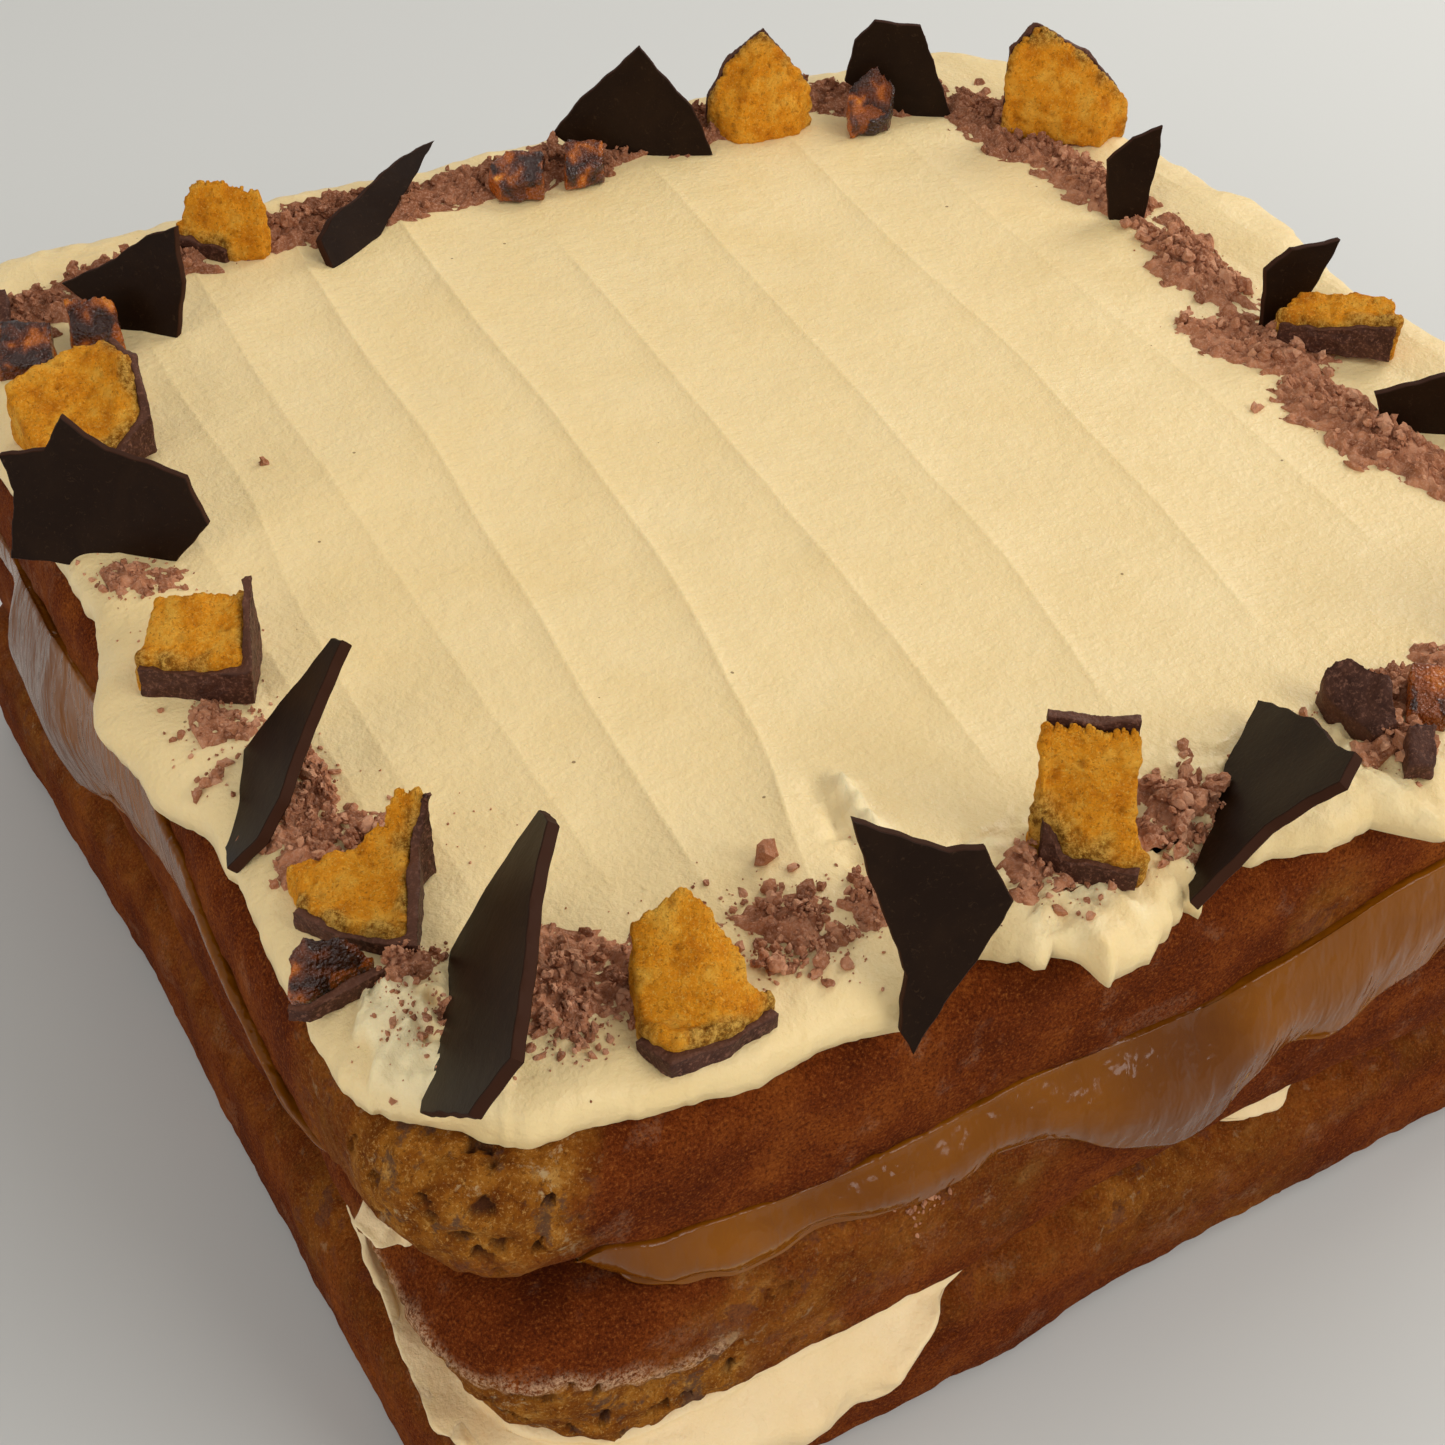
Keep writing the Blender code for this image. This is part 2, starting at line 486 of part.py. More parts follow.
def build_frosting(collection, material):
    inner = HALF - FROSTING_RIM
    bm = bmesh.new()
    grid = []
    for y in FROSTING_ROWS:
        row = []
        for x, lift in frosting_columns(y, inner):
            calm = min(1.0, (inner - abs(y)) / 10.0, (inner - abs(x)) / 6.0)
            z = FROSTING_TOP + lift * max(calm, 0.0)
            px, py = rounded(x, y, inner, FROSTING_CORNER - FROSTING_RIM)
            row.append(bm.verts.new(Vector((px, py, z)) * MM))
        grid.append(row)
    for low, high in zip(grid, grid[1:]):
        for i in range(len(low) - 1):
            bm.faces.new((low[i], low[i + 1], high[i + 1], high[i]))
    front = [(x, -inner, grid[0][i]) for i, (x, lift) in enumerate(frosting_columns(-inner, inner))]
    right = [(inner, y, grid[i][-1]) for i, y in enumerate(FROSTING_ROWS)]
    back = [(x, inner, grid[-1][i]) for i, (x, lift) in enumerate(frosting_columns(inner, inner))]
    left = [(-inner, y, grid[i][0]) for i, y in enumerate(FROSTING_ROWS)]
    edge = front[:-1] + right[:-1] + back[:0:-1] + left[:0:-1]
    above = [vert for x, y, vert in edge]
    for inset, height, share in RIM_RINGS:
        below = [bm.verts.new(frosting_rim_point(x, y, inner, inset, FROSTING_BOTTOM + height, share))
                 for x, y, vert in edge]
        for i in range(len(edge)):
            j = (i + 1) % len(edge)
            bm.faces.new((above[i], above[j], below[j], below[i]))
        above = below
    bm.faces.new(above)
    item = add_object("frosting", mesh_from(bm, "frosting"), collection, material)
    smooth(item)
    return item


# ---- toppings ----------------------------------------------------------------------------------
def plate_mesh(name, outline, thick):
    """Flat plate from an outline in the x y plane, as a filled 2D curve turned into a mesh."""
    curve = bpy.data.curves.new(name, "CURVE")
    curve.dimensions = "2D"
    curve.fill_mode = "BOTH"
    curve.extrude = thick * MM / 2
    spline = curve.splines.new("POLY")
    spline.points.add(len(outline) - 1)
    for point, (u, v) in zip(spline.points, outline):
        point.co = (u * MM, v * MM, 0.0, 1.0)
    spline.use_cyclic_u = True
    carrier = bpy.data.objects.new(name, curve)
    bpy.context.scene.collection.objects.link(carrier)
    evaluated = carrier.evaluated_get(bpy.context.evaluated_depsgraph_get())
    mesh = bpy.data.meshes.new_from_object(evaluated)
    bpy.data.objects.remove(carrier, do_unlink=True)
    bm = bmesh.new()
    bm.from_mesh(mesh)
    bmesh.ops.remove_doubles(bm, verts=bm.verts, dist=0.00001)
    bpy.data.meshes.remove(mesh)
    return bm


def build_shard(shard, collection, material):
    outline = [(u, v if abs(v) > FOOT else v - SHARD_SUNK) for u, v in shard.outline]
    bm = plate_mesh(shard.name, outline, SHARD_THICK)
    upright = Matrix.Rotation(math.radians(90), 4, "X")
    lean = Matrix.Rotation(-math.radians(shard.lean), 4, "X")
    turn = Matrix.Rotation(math.radians(shard.turn), 4, "Z")
    place = Matrix.Translation(Vector((*shard.foot, FROSTING_TOP)) * MM)
    bm.transform(place @ turn @ lean @ upright)
    return add_object(shard.name, mesh_from(bm, shard.name), collection, material)


def build_chunk(chunk, collection, material):
    """Block with an uneven top: a side under each stretch of its outline, a floor and a top."""
    bm = bmesh.new()
    left, front = chunk.middle
    floor = FROSTING_TOP - SUNK
    low = [bm.verts.new(Vector((left + x, front + y, floor)) * MM) for x, y, height in chunk.corners]
    high = [bm.verts.new(Vector((left + x, front + y, FROSTING_TOP + height)) * MM)
            for x, y, height in chunk.corners]
    bm.faces.new(low)
    bm.faces.new(high)
    count = len(low)
    for i in range(count):
        j = (i + 1) % count
        bm.faces.new((low[i], low[j], high[j], high[i]))
    bmesh.ops.triangulate(bm, faces=bm.faces)
    return add_object(chunk.name, mesh_from(bm, chunk.name), collection, material)


def offset_line(points, distance):
    """Moves an open line sideways, away from the middle of the chunk that it follows."""
    moved = []
    for i, point in enumerate(points):
        before = (point - points[i - 1]).normalized() if i > 0 else None
        after = (points[i + 1] - point).normalized() if i + 1 < len(points) else None
        one = before or after
        two = after or before
        normal_one = Vector((one.y, -one.x))
        normal_two = Vector((two.y, -two.x))
        normal = (normal_one + normal_two).normalized()
        stretch = 1.0 / max(normal.dot(normal_one), 0.5)
        moved.append(point + normal * distance * stretch)
    return moved


def build_coat(chunk, collection, material):
    """Chocolate along part of a chunk's outline: a wall whose top follows its own heights."""
    name = chunk.name + "_coat"
    middle = Vector(chunk.middle)
    line = [middle + Vector(chunk.corners[i][:2]) for i, height in chunk.coat]
    inner = offset_line(line, CLEAR)
    outer = offset_line(line, CLEAR + COAT_THICK)
    floor = FROSTING_TOP - SUNK
    bm = bmesh.new()
    sections = []
    for near, far, (i, height) in zip(inner, outer, chunk.coat):
        top = FROSTING_TOP + height
        corners = ((near, floor), (far, floor), (far, top), (near, top))
        sections.append([bm.verts.new(Vector((*point, z)) * MM) for point, z in corners])
    for one, two in zip(sections, sections[1:]):
        for i in range(4):
            j = (i + 1) % 4
            bm.faces.new((one[i], one[j], two[j], two[i]))
    bm.faces.new(sections[0])
    bm.faces.new(sections[-1])
    return add_object(name, mesh_from(bm, name), collection, material)


def apply_boolean(item, operation, collection):
    """Joins or cuts with a whole collection, applies it, and removes the collection's objects."""
    modifier = item.modifiers.new(operation.lower(), "BOOLEAN")
    modifier.operation = operation
    modifier.operand_type = "COLLECTION"
    modifier.collection = collection
    modifier.solver = "MANIFOLD"
    evaluated = item.evaluated_get(bpy.context.evaluated_depsgraph_get())
    result = bpy.data.meshes.new_from_object(evaluated)
    item.modifiers.remove(modifier)
    item.data = result
    for used in list(collection.objects):
        bpy.data.objects.remove(used, do_unlink=True)
    bpy.data.collections.remove(collection)


def drop_scraps(item):
    """Keeps only the largest connected piece of a mesh, and so fills what fusing sealed inside it."""
    bm = bmesh.new()
    bm.from_mesh(item.data)
    waiting = set(bm.faces)
    pieces = []
    while waiting:
        piece = set()
        border = {waiting.pop()}
        while border:
            piece |= border
            border = {face for old in border for edge in old.edges for face in edge.link_faces} - piece
        waiting -= piece
        pieces.append(piece)
    pieces.sort(key=len)
    scraps = [face for piece in pieces[:-1] for face in piece]
    bmesh.ops.delete(bm, geom=scraps, context="FACES")
    bm.to_mesh(item.data)
    bm.free()


def add_cutter(item, cutters):
    """Copy of a topping, larger by the gap, that cuts its pocket into the frosting."""
    bm = bmesh.new()
    bm.from_mesh(item.data)
    bm.normal_update()
    moves = [(vert, vert.normal * CLEAR * vert.calc_shell_factor() * MM) for vert in bm.verts]
    for vert, move in moves:
        vert.co += move
    cutter = bpy.data.objects.new("pocket_" + item.name, mesh_from(bm, "pocket_" + item.name))
    cutters.objects.link(cutter)


def tree_of(item):
    bm = bmesh.new()
    bm.from_mesh(item.data)
    tree = BVHTree.FromBMesh(bm)
    bm.free()
    return tree


def is_free(point, radius, trees):
    """True where a crumb neither touches a topping nor lies inside one."""
    for tree in trees:
        if tree.find_nearest(point, radius)[0] is not None:
            return False
        hit, normal, index, distance = tree.ray_cast(point, Vector((0, 0, 1)))
        if hit is not None and normal.z > 0:
            return False
    return True


def add_crumb(point, radius, rng, crumbs):
    bm = bmesh.new()
    bmesh.ops.create_icosphere(bm, subdivisions=1, radius=radius * MM)
    for vert in bm.verts:
        vert.co *= rng.uniform(0.8, 1.1)
    spin = Matrix.Rotation(rng.uniform(0, math.tau), 4, (rng.random(), rng.random(), 1))
    squash = Matrix.Diagonal((rng.uniform(0.8, 1.2), rng.uniform(0.8, 1.2), rng.uniform(0.7, 1.0), 1))
    bm.transform(Matrix.Translation(point) @ squash @ spin)
    crumb = bpy.data.objects.new("crumb", mesh_from(bm, "crumb"))
    crumbs.objects.link(crumb)


def fuse_crumbs(frosting, toppings):
    """Scatters crumbs over their patches, clear of the toppings, and joins them to the frosting."""
    rng = random.Random(SEED)
    crumbs = make_collection("crumbs")
    surface = tree_of(frosting)
    trees = [tree_of(item) for item in toppings]
    placed = []
    for x_low, y_low, x_high, y_high, count in CRUMB_PATCHES:
        for attempt in range(count * CRUMB_TRIES):
            radius = rng.uniform(*CRUMB_SIZE)
            above = Vector((rng.uniform(x_low, x_high), rng.uniform(y_low, y_high), 200.0)) * MM
            ground = surface.ray_cast(above, Vector((0, 0, -1)))[0]
            if ground is None or count == 0:
                continue
            point = ground - Vector((0, 0, radius * CRUMB_SUNK * MM))
            apart = all((point - other).length > (radius + size) * MM for other, size in placed)
            if apart and is_free(point, (radius * CRUMB_REACH + CLEAR) * MM, trees):
                placed.append((point, radius))
                add_crumb(point, radius, rng, crumbs)
                count -= 1
    apply_boolean(frosting, "UNION", crumbs)


def main():
    clear_scene()
    cake = make_collection("banoffee_cake")
    sponge = make_material("sponge", (0.205, 0.060, 0.018), 0.75)
    caramel = make_material("caramel", (0.34, 0.155, 0.055), 0.25)
    cream = make_material("cream", (0.78, 0.66, 0.42), 0.6)
    icing = make_material("icing", (0.82, 0.70, 0.44), 0.6)
    chocolate = make_material("dark_chocolate", (0.022, 0.014, 0.010), 0.35)
    coating = make_material("chocolate_coat", (0.060, 0.030, 0.022), 0.5)
    comb = make_material("honeycomb", (0.62, 0.30, 0.055), 0.7)
    toffee = make_material("toffee", (0.23, 0.070, 0.020), 0.2)

    for layer in (SPONGE_BOTTOM, SPONGE_MIDDLE, SPONGE_TOP):
        build_sponge(layer, cake, sponge)
    build_cream_lower(cake, cream)
    build_caramel(cake, caramel)
    build_cream_upper(cake, cream)
    frosting = build_frosting(cake, icing)

    toppings = [build_shard(shard, cake, chocolate) for shard in SHARDS]
    for chunk in HONEYCOMB:
        toppings.append(build_chunk(chunk, cake, comb))
        toppings.append(build_coat(chunk, cake, coating))
    toppings.append(build_coat(BACK_COAT, cake, coating))
    for chunk in TOFFEE:
        toppings.append(build_chunk(chunk, cake, toffee))
        if chunk.coat:
            toppings.append(build_coat(chunk, cake, coating))
    fuse_crumbs(frosting, toppings)
    cutters = make_collection("cutters")
    for item in toppings:
        add_cutter(item, cutters)
    apply_boolean(frosting, "DIFFERENCE", cutters)
    drop_scraps(frosting)


main()
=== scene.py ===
"""Looks of the banoffee cake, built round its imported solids.

Lengths are in millimetres in the cake's own frame until a mesh is made. The cake stands on z = 0
with its middle on the z axis, its front towards -Y and its left side towards -X.
"""

import math
from typing import NamedTuple

import bmesh
import bpy
import numpy as np
from mathutils import Matrix, Vector
from mathutils.bvhtree import BVHTree
from mathutils.geometry import delaunay_2d_cdt


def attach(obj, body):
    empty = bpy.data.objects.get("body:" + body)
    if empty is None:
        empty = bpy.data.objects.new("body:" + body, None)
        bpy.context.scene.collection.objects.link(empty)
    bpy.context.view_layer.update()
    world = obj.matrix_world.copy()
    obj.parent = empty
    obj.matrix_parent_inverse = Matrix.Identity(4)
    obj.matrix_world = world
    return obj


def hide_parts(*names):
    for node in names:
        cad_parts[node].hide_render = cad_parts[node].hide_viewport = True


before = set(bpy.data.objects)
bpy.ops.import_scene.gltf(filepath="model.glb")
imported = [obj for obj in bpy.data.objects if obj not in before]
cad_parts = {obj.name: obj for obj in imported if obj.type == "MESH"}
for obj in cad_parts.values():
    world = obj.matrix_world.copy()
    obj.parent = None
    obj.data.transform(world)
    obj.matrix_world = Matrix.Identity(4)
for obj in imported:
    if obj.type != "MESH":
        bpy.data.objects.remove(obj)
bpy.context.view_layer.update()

MM = 0.001
HALF = 115.0
CORNER = 16.0


# ---- noise -------------------------------------------------------------------------------------
def scramble(cell, seed):
    """One repeatable number from 0 to 1 for each whole-number point."""
    x, y, z = (cell[..., i].astype(np.int64) for i in range(3))
    mixed = (x * 73856093) ^ (y * 19349663) ^ (z * 83492791) ^ (seed * 1013904223)
    mixed &= 0x7FFFFFFF
    mixed = ((mixed ^ (mixed >> 13)) * 1274126177) & 0x7FFFFFFF
    mixed = ((mixed ^ (mixed >> 15)) * 668265263) & 0x7FFFFFFF
    return (mixed ^ (mixed >> 16)) % 65536 / 65535.0


def noise(points, size, seed=0):
    """Smooth noise from -1 to 1 whose bumps are about this size."""
    scaled = points / size + 17.3
    base = np.floor(scaled)
    part = scaled - base
    part = part * part * (3 - 2 * part)
    total = 0.0
    for i in range(8):
        step = np.array((i & 1, (i >> 1) & 1, i >> 2))
        weight = np.prod(np.where(step, part, 1 - part), axis=-1)
        total = total + weight * scramble(base + step, seed)
    return total * 2 - 1


def cells(points, size, seed=0):
    """Distance to the nearest of many scattered spots, as a share of their spacing, and that
    spot's own number from 0 to 1."""
    scaled = points / size
    base = np.floor(scaled)
    best = np.full(scaled.shape[:-1], 9.0)
    mark = np.zeros(scaled.shape[:-1])
    for i in range(27):
        cell = base + np.array((i % 3 - 1, i // 3 % 3 - 1, i // 9 - 1))
        spot = cell + np.stack([scramble(cell, seed + n) for n in (1, 2, 3)], -1)
        distance = np.linalg.norm(spot - scaled, axis=-1)
        mark = np.where(distance < best, scramble(cell, seed + 4), mark)
        best = np.minimum(best, distance)
    return best, mark


# ---- shapes ------------------------------------------------------------------------------------
def follow(table, place):
    """Smooth value at a place, through a table's (place, value) pairs."""
    xs, ys = np.array(table, float).T
    slopes = np.gradient(ys, xs)
    i = np.clip(np.searchsorted(xs, place) - 1, 0, len(xs) - 2)
    width = xs[i + 1] - xs[i]
    t = np.clip((place - xs[i]) / width, 0, 1)
    level = ys[i] + (ys[i + 1] - ys[i]) * (3 - 2 * t) * t * t
    return level + width * (slopes[i] * t * (1 - t) ** 2 - slopes[i + 1] * t * t * (1 - t))


def around(tables, x, y):
    """Value at points on the square from a table for each side, and 0 on a side without one."""
    upright = np.abs(y) >= np.abs(x)
    sides = {"front": (upright & (y < 0), x), "back": (upright & (y >= 0), x),
             "left": (~upright & (x < 0), y), "right": (~upright & (x >= 0), y)}
    value = np.zeros(np.shape(x))
    for side, table in tables.items():
        mask, along = sides[side]
        value = np.where(mask, follow(table, along), value)
    return value


def window(value, low, high, soft):
    """1 between low and high, and 0 beyond, with soft ends."""
    rise = np.clip((value - low) / soft + 0.5, 0, 1)
    fall = np.clip((high - value) / soft + 0.5, 0, 1)
    both = rise * fall
    return both * both * (3 - 2 * both)


def rounded(x, y, half, radius):
    """Moves points of a square with this half width onto the same square with round corners."""
    flat = half - radius
    u = np.clip((np.abs(x) - flat) / radius, 0, 1)
    v = np.clip((np.abs(y) - flat) / radius, 0, 1)
    corner = (u > 0) & (v > 0)
    across = np.where(corner, flat + radius * u * np.sqrt(1 - v * v / 2), np.abs(x))
    along = np.where(corner, flat + radius * v * np.sqrt(1 - u * u / 2), np.abs(y))
    return np.copysign(across, x), np.copysign(along, y)


def enclosed(mesh):
    """Volume inside a closed mesh, less than 0 where its faces look inwards."""
    mesh.calc_loop_triangles()
    corners = np.empty(len(mesh.loop_triangles) * 3, np.int32)
    mesh.loop_triangles.foreach_get("vertices", corners)
    places = np.empty(len(mesh.vertices) * 3)
    mesh.vertices.foreach_get("co", places)
    a, b, c = places.reshape(-1, 3)[corners.reshape(-1, 3)].transpose(1, 0, 2)
    return np.sum(a * np.cross(b, c)) / 6


def make_piece(name, points, faces, material, replaced, values, smooth=True):
    """Mesh piece of the cake from points in millimetres; its values are kept as attributes."""
    mesh = bpy.data.meshes.new(name)
    mesh.from_pydata((np.asarray(points) * MM).tolist(), [], faces)
    mesh.update()
    mesh.polygons.foreach_set("use_smooth", [smooth] * len(mesh.polygons))
    for key, value in values.items():
        attribute = mesh.attributes.new(key, "FLOAT", "POINT")
        attribute.data.foreach_set("value", np.asarray(value, np.float32))
    if enclosed(mesh) < 0:
        mesh.flip_normals()
    mesh.materials.append(material)
    piece = bpy.data.objects.new(name, mesh)
    bpy.context.scene.collection.objects.link(piece)
    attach(piece, "root")
    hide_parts(*replaced)
    return piece


def sheet_faces(rows, columns, closed, first=0):
    """Quads of a sheet of rows by columns of points; closed joins the last column to the first."""
    across = columns if closed else columns - 1
    faces = []
    for r in range(rows - 1):
        low = first + r * columns
        high = low + columns
        for c in range(across):
            d = (c + 1) % columns
            faces.append((low + c, low + d, high + d, high + c))
    return faces


def loft(rings):
    """Points and faces of closed rings, an array of rings by columns by 3, capped at both ends."""
    rows, columns = rings.shape[:2]
    faces = sheet_faces(rows, columns, True)
    ends = [tuple(range(columns))[::-1], tuple(range((rows - 1) * columns, rows * columns))]
    return rings.reshape(-1, 3), faces + ends


def square_line():
    """Points round the square, in order, closer together where the photo shows the sides."""
    def places(*parts):
        return np.concatenate([np.linspace(start, end, count, endpoint=False) for start, end, count in parts])

    front = places((-HALF, -20, 175), (-20, HALF, 150))
    plain = places((-HALF, HALF, 124))
    left = places((-HALF, 20, 90), (20, HALF, 130))
    x = np.concatenate([front, np.full(len(plain), HALF), -plain, np.full(len(left), -HALF)])
    y = np.concatenate([np.full(len(front), -HALF), plain, np.full(len(plain), HALF), -left])
    return x, y


LINE_X, LINE_Y = square_line()


# ---- materials ---------------------------------------------------------------------------------
class Looks:
    """A procedural material. Sizes of its textures are in millimetres."""

    def __init__(self, name, roughness=0.5, **sockets):
        self.material = bpy.data.materials.new(name)
        self.material.use_nodes = True
        self.tree = self.material.node_tree
        self.shader = self.tree.nodes["Principled BSDF"]
        self.shader.inputs["Roughness"].default_value = roughness
        for key, value in sockets.items():
            self.shader.inputs[key.replace("_", " ")].default_value = value
        self.place = self.tree.nodes.new("ShaderNodeTexCoord").outputs["Object"]

    def link(self, value, socket):
        if isinstance(value, bpy.types.NodeSocket):
            self.tree.links.new(value, socket)
        else:
            socket.default_value = (*value, 1.0) if isinstance(value, tuple) else value

    def noise(self, size, detail=3.0, roughness=0.55, twist=0.0, stretch=None):
        node = self.tree.nodes.new("ShaderNodeTexNoise")
        place = self.place
        if stretch:
            scale = self.tree.nodes.new("ShaderNodeVectorMath")
            scale.operation = "MULTIPLY"
            self.link(place, scale.inputs[0])
            scale.inputs[1].default_value = stretch
            place = scale.outputs[0]
        self.link(place, node.inputs["Vector"])
        node.inputs["Scale"].default_value = 1.0 / (size * MM)
        node.inputs["Detail"].default_value = detail
        node.inputs["Roughness"].default_value = roughness
        node.inputs["Distortion"].default_value = twist
        return node.outputs["Fac"]

    def cells(self, size, output="Distance"):
        node = self.tree.nodes.new("ShaderNodeTexVoronoi")
        self.link(self.place, node.inputs["Vector"])
        node.inputs["Scale"].default_value = 1.0 / (size * MM)
        return node.outputs[output]

    def value(self, key):
        node = self.tree.nodes.new("ShaderNodeAttribute")
        node.attribute_name = key
        return node.outputs["Fac"]

    def ramp(self, factor, *stops):
        """Colours or greys at places along a factor, as (place, colour) pairs."""
        node = self.tree.nodes.new("ShaderNodeValToRGB")
        self.link(factor, node.inputs["Fac"])
        elements = node.color_ramp.elements
        while len(elements) < len(stops):
            elements.new(0.5)
        for element, (place, colour) in zip(elements, stops):
            element.position = place
            element.color = (*colour, 1.0) if isinstance(colour, tuple) else (colour,) * 3 + (1.0,)
        return node.outputs["Color"]

    def mix(self, base, colour, share):
        """The colour over the base, where its share is high."""
        node = self.tree.nodes.new("ShaderNodeMix")
        node.data_type = "RGBA"
        self.link(share, node.inputs["Factor"])
        self.link(base, node.inputs[6])
        self.link(colour, node.inputs[7])
        return node.outputs[2]

    def over(self, base, colour, factor, *stops):
        """The colour over the base, where its share along a factor is high."""
        return self.mix(base, colour, self.ramp(factor, *stops))

    def math(self, operation, one, two):
        node = self.tree.nodes.new("ShaderNodeMath")
        node.operation = operation
        self.link(one, node.inputs[0])
        self.link(two, node.inputs[1])
        return node.outputs[0]

    def part(self, value, share):
        return self.math("MULTIPLY", value, share)

    def bump(self, *layers):
        """Bumps on top of each other, as (height, depth in millimetres, strength) layers."""
        normal = None
        for height, depth, strength in layers:
            node = self.tree.nodes.new("ShaderNodeBump")
            self.link(height, node.inputs["Height"])
            node.inputs["Distance"].default_value = depth * MM
            node.inputs["Strength"].default_value = strength
            if normal:
                self.link(normal, node.inputs["Normal"])
            normal = node.outputs["Normal"]
        self.link(normal, self.shader.inputs["Normal"])

    def colour(self, value):
        self.link(value, self.shader.inputs["Base Color"])

    def roughness(self, value):
        self.link(value, self.shader.inputs["Roughness"])


def sponge_looks():
    """Baked crust: red-brown, finely grained, with its skin gone to show a golden crumb in places. Painted
    shade darkens the grain's hollows and the crumb's holes, and painted highlights lighten the grain's tops,
    fine specks and a line along the middle sponge's crest.
    """
    looks = Looks("sponge_crust", 0.85, Specular_IOR_Level=0.05)
    golden = looks.value("golden")
    patches = looks.noise(13.0, 4.0, 0.6)
    skin = looks.ramp(patches, (0.30, (0.090, 0.0150, 0.0022)), (0.5, (0.150, 0.0280, 0.0038)),
                      (0.68, (0.240, 0.0560, 0.0070)))
    grain = looks.noise(0.45, 4.0, 0.75)
    # Painted shade and painted highlight over the crust's own grain: darker in the grain's hollows and
    # lighter on its tops. The same grain drives the bump below.
    skin = looks.over(skin, (0.030, 0.0050, 0.0012), grain, (0.36, 0.7), (0.50, 0.0))
    skin = looks.over(skin, (0.42, 0.135, 0.026), grain, (0.54, 0.0), (0.68, 0.5))
    crumb = looks.ramp(looks.noise(4.6, 5.0, 0.66),
                       (0.32, (0.130, 0.030, 0.0030)), (0.46, (0.235, 0.071, 0.0060)),
                       (0.60, (0.350, 0.130, 0.0150)), (0.72, (0.500, 0.260, 0.0650)))
    light, dark = looks.noise(0.5, 3.0, 0.8), looks.noise(0.55, 4.0, 0.8)
    crumb = looks.over(crumb, (0.66, 0.36, 0.10), light, (0.54, 0.0), (0.66, 0.55))
    crumb = looks.over(crumb, (0.085, 0.024, 0.0045), dark, (0.36, 0.7), (0.47, 0.0))
    fruit, pale = looks.noise(6.5, 5.0, 0.70, 0.2), looks.noise(4.2, 5.0, 0.75, 0.2)
    crumb = looks.over(crumb, (0.085, 0.048, 0.034), fruit, (0.55, 0.0), (0.62, 0.75))
    crumb = looks.over(crumb, (0.52, 0.37, 0.19), pale, (0.60, 0.0), (0.68, 0.75))
    # Painted shade: the crumb's holes, which are sunk into the crust, are darkened.
    crumb = looks.mix(crumb, (0.050, 0.0170, 0.0090), looks.part(looks.value("hole"), 0.85))
    base = looks.mix(skin, crumb, golden)
    # Painted highlight: pale pink specks over the sheen patches and the crest line marked in the sponge's
    # points.
    sheen_specks = looks.ramp(looks.noise(0.6, 5.0, 0.85), (0.44, 0.0), (0.58, 0.8))
    base = looks.mix(base, (0.70, 0.43, 0.25), looks.part(looks.value("painted_sheen"), sheen_specks))
    looks.colour(base)
    looks.bump((looks.noise(2.4, 4.0, 0.65), 0.6, 0.7), (grain, 0.34, 1.0),
               (looks.noise(0.34, 3.0, 0.8), 0.16, 0.9))
    return looks.material


def caramel_looks():
    """Glossy caramel, wrinkled downwards, darkened with painted shade where it stays in the gap between the
    sponges and where it barely comes out, and darker down the drips.
    """
    looks = Looks("caramel_filling", 0.2, Specular_IOR_Level=0.22, Subsurface_Weight=0.1,
                  Subsurface_Scale=0.002, Subsurface_Radius=(1.0, 0.5, 0.2))
    base = looks.ramp(looks.noise(18.0, 3.0, 0.5, 0.6), (0.3, (0.155, 0.044, 0.0008)),
                      (0.7, (0.235, 0.074, 0.0018)))
    # Painted shade in the gap between the sponges; darker down the drips.
    base = looks.mix(base, (0.085, 0.021, 0.0016), looks.value("thin"))
    looks.colour(base)
    looks.roughness(looks.ramp(looks.noise(9.0, 3.0), (0.35, 0.10), (0.65, 0.20)))
    wrinkles = looks.noise(3.0, 2.0, 0.5, 0.3, (1.0, 1.0, 0.35))
    looks.bump((wrinkles, 0.9, 0.8), (looks.noise(0.8, 2.0, 0.6), 0.04, 0.6))
    return looks.material


def cream_looks(name, pale, deep):
    """Frosting or cream, with a fine grain and a few dark specks."""
    looks = Looks(name, Specular_IOR_Level=0.3, Subsurface_Weight=0.15, Subsurface_Scale=0.002,
                  Subsurface_Radius=(1.0, 0.7, 0.4))
    base = looks.over(deep, pale, looks.noise(16.0, 3.0), (0.3, 0.0), (0.7, 1.0))
    base = looks.mix(base, (0.92, 0.80, 0.50), looks.value("torn"))
    speck = looks.cells(6.5)
    number = looks.cells(6.5, "Color")
    size = looks.part(looks.ramp(number, (0.5, 0.0), (1.0, 1.0)), 0.06)
    base = looks.mix(base, (0.16, 0.075, 0.02), looks.part(looks.math("LESS_THAN", speck, size), 0.75))
    looks.colour(base)
    grain = looks.noise(2.2, 4.0, 0.6)
    fine = looks.noise(0.8, 3.0, 0.6)
    looks.roughness(looks.ramp(grain, (0.3, 0.55), (0.7, 0.34)))
    looks.bump((grain, 0.42, 0.8), (fine, 0.20, 0.8))
    return looks.material


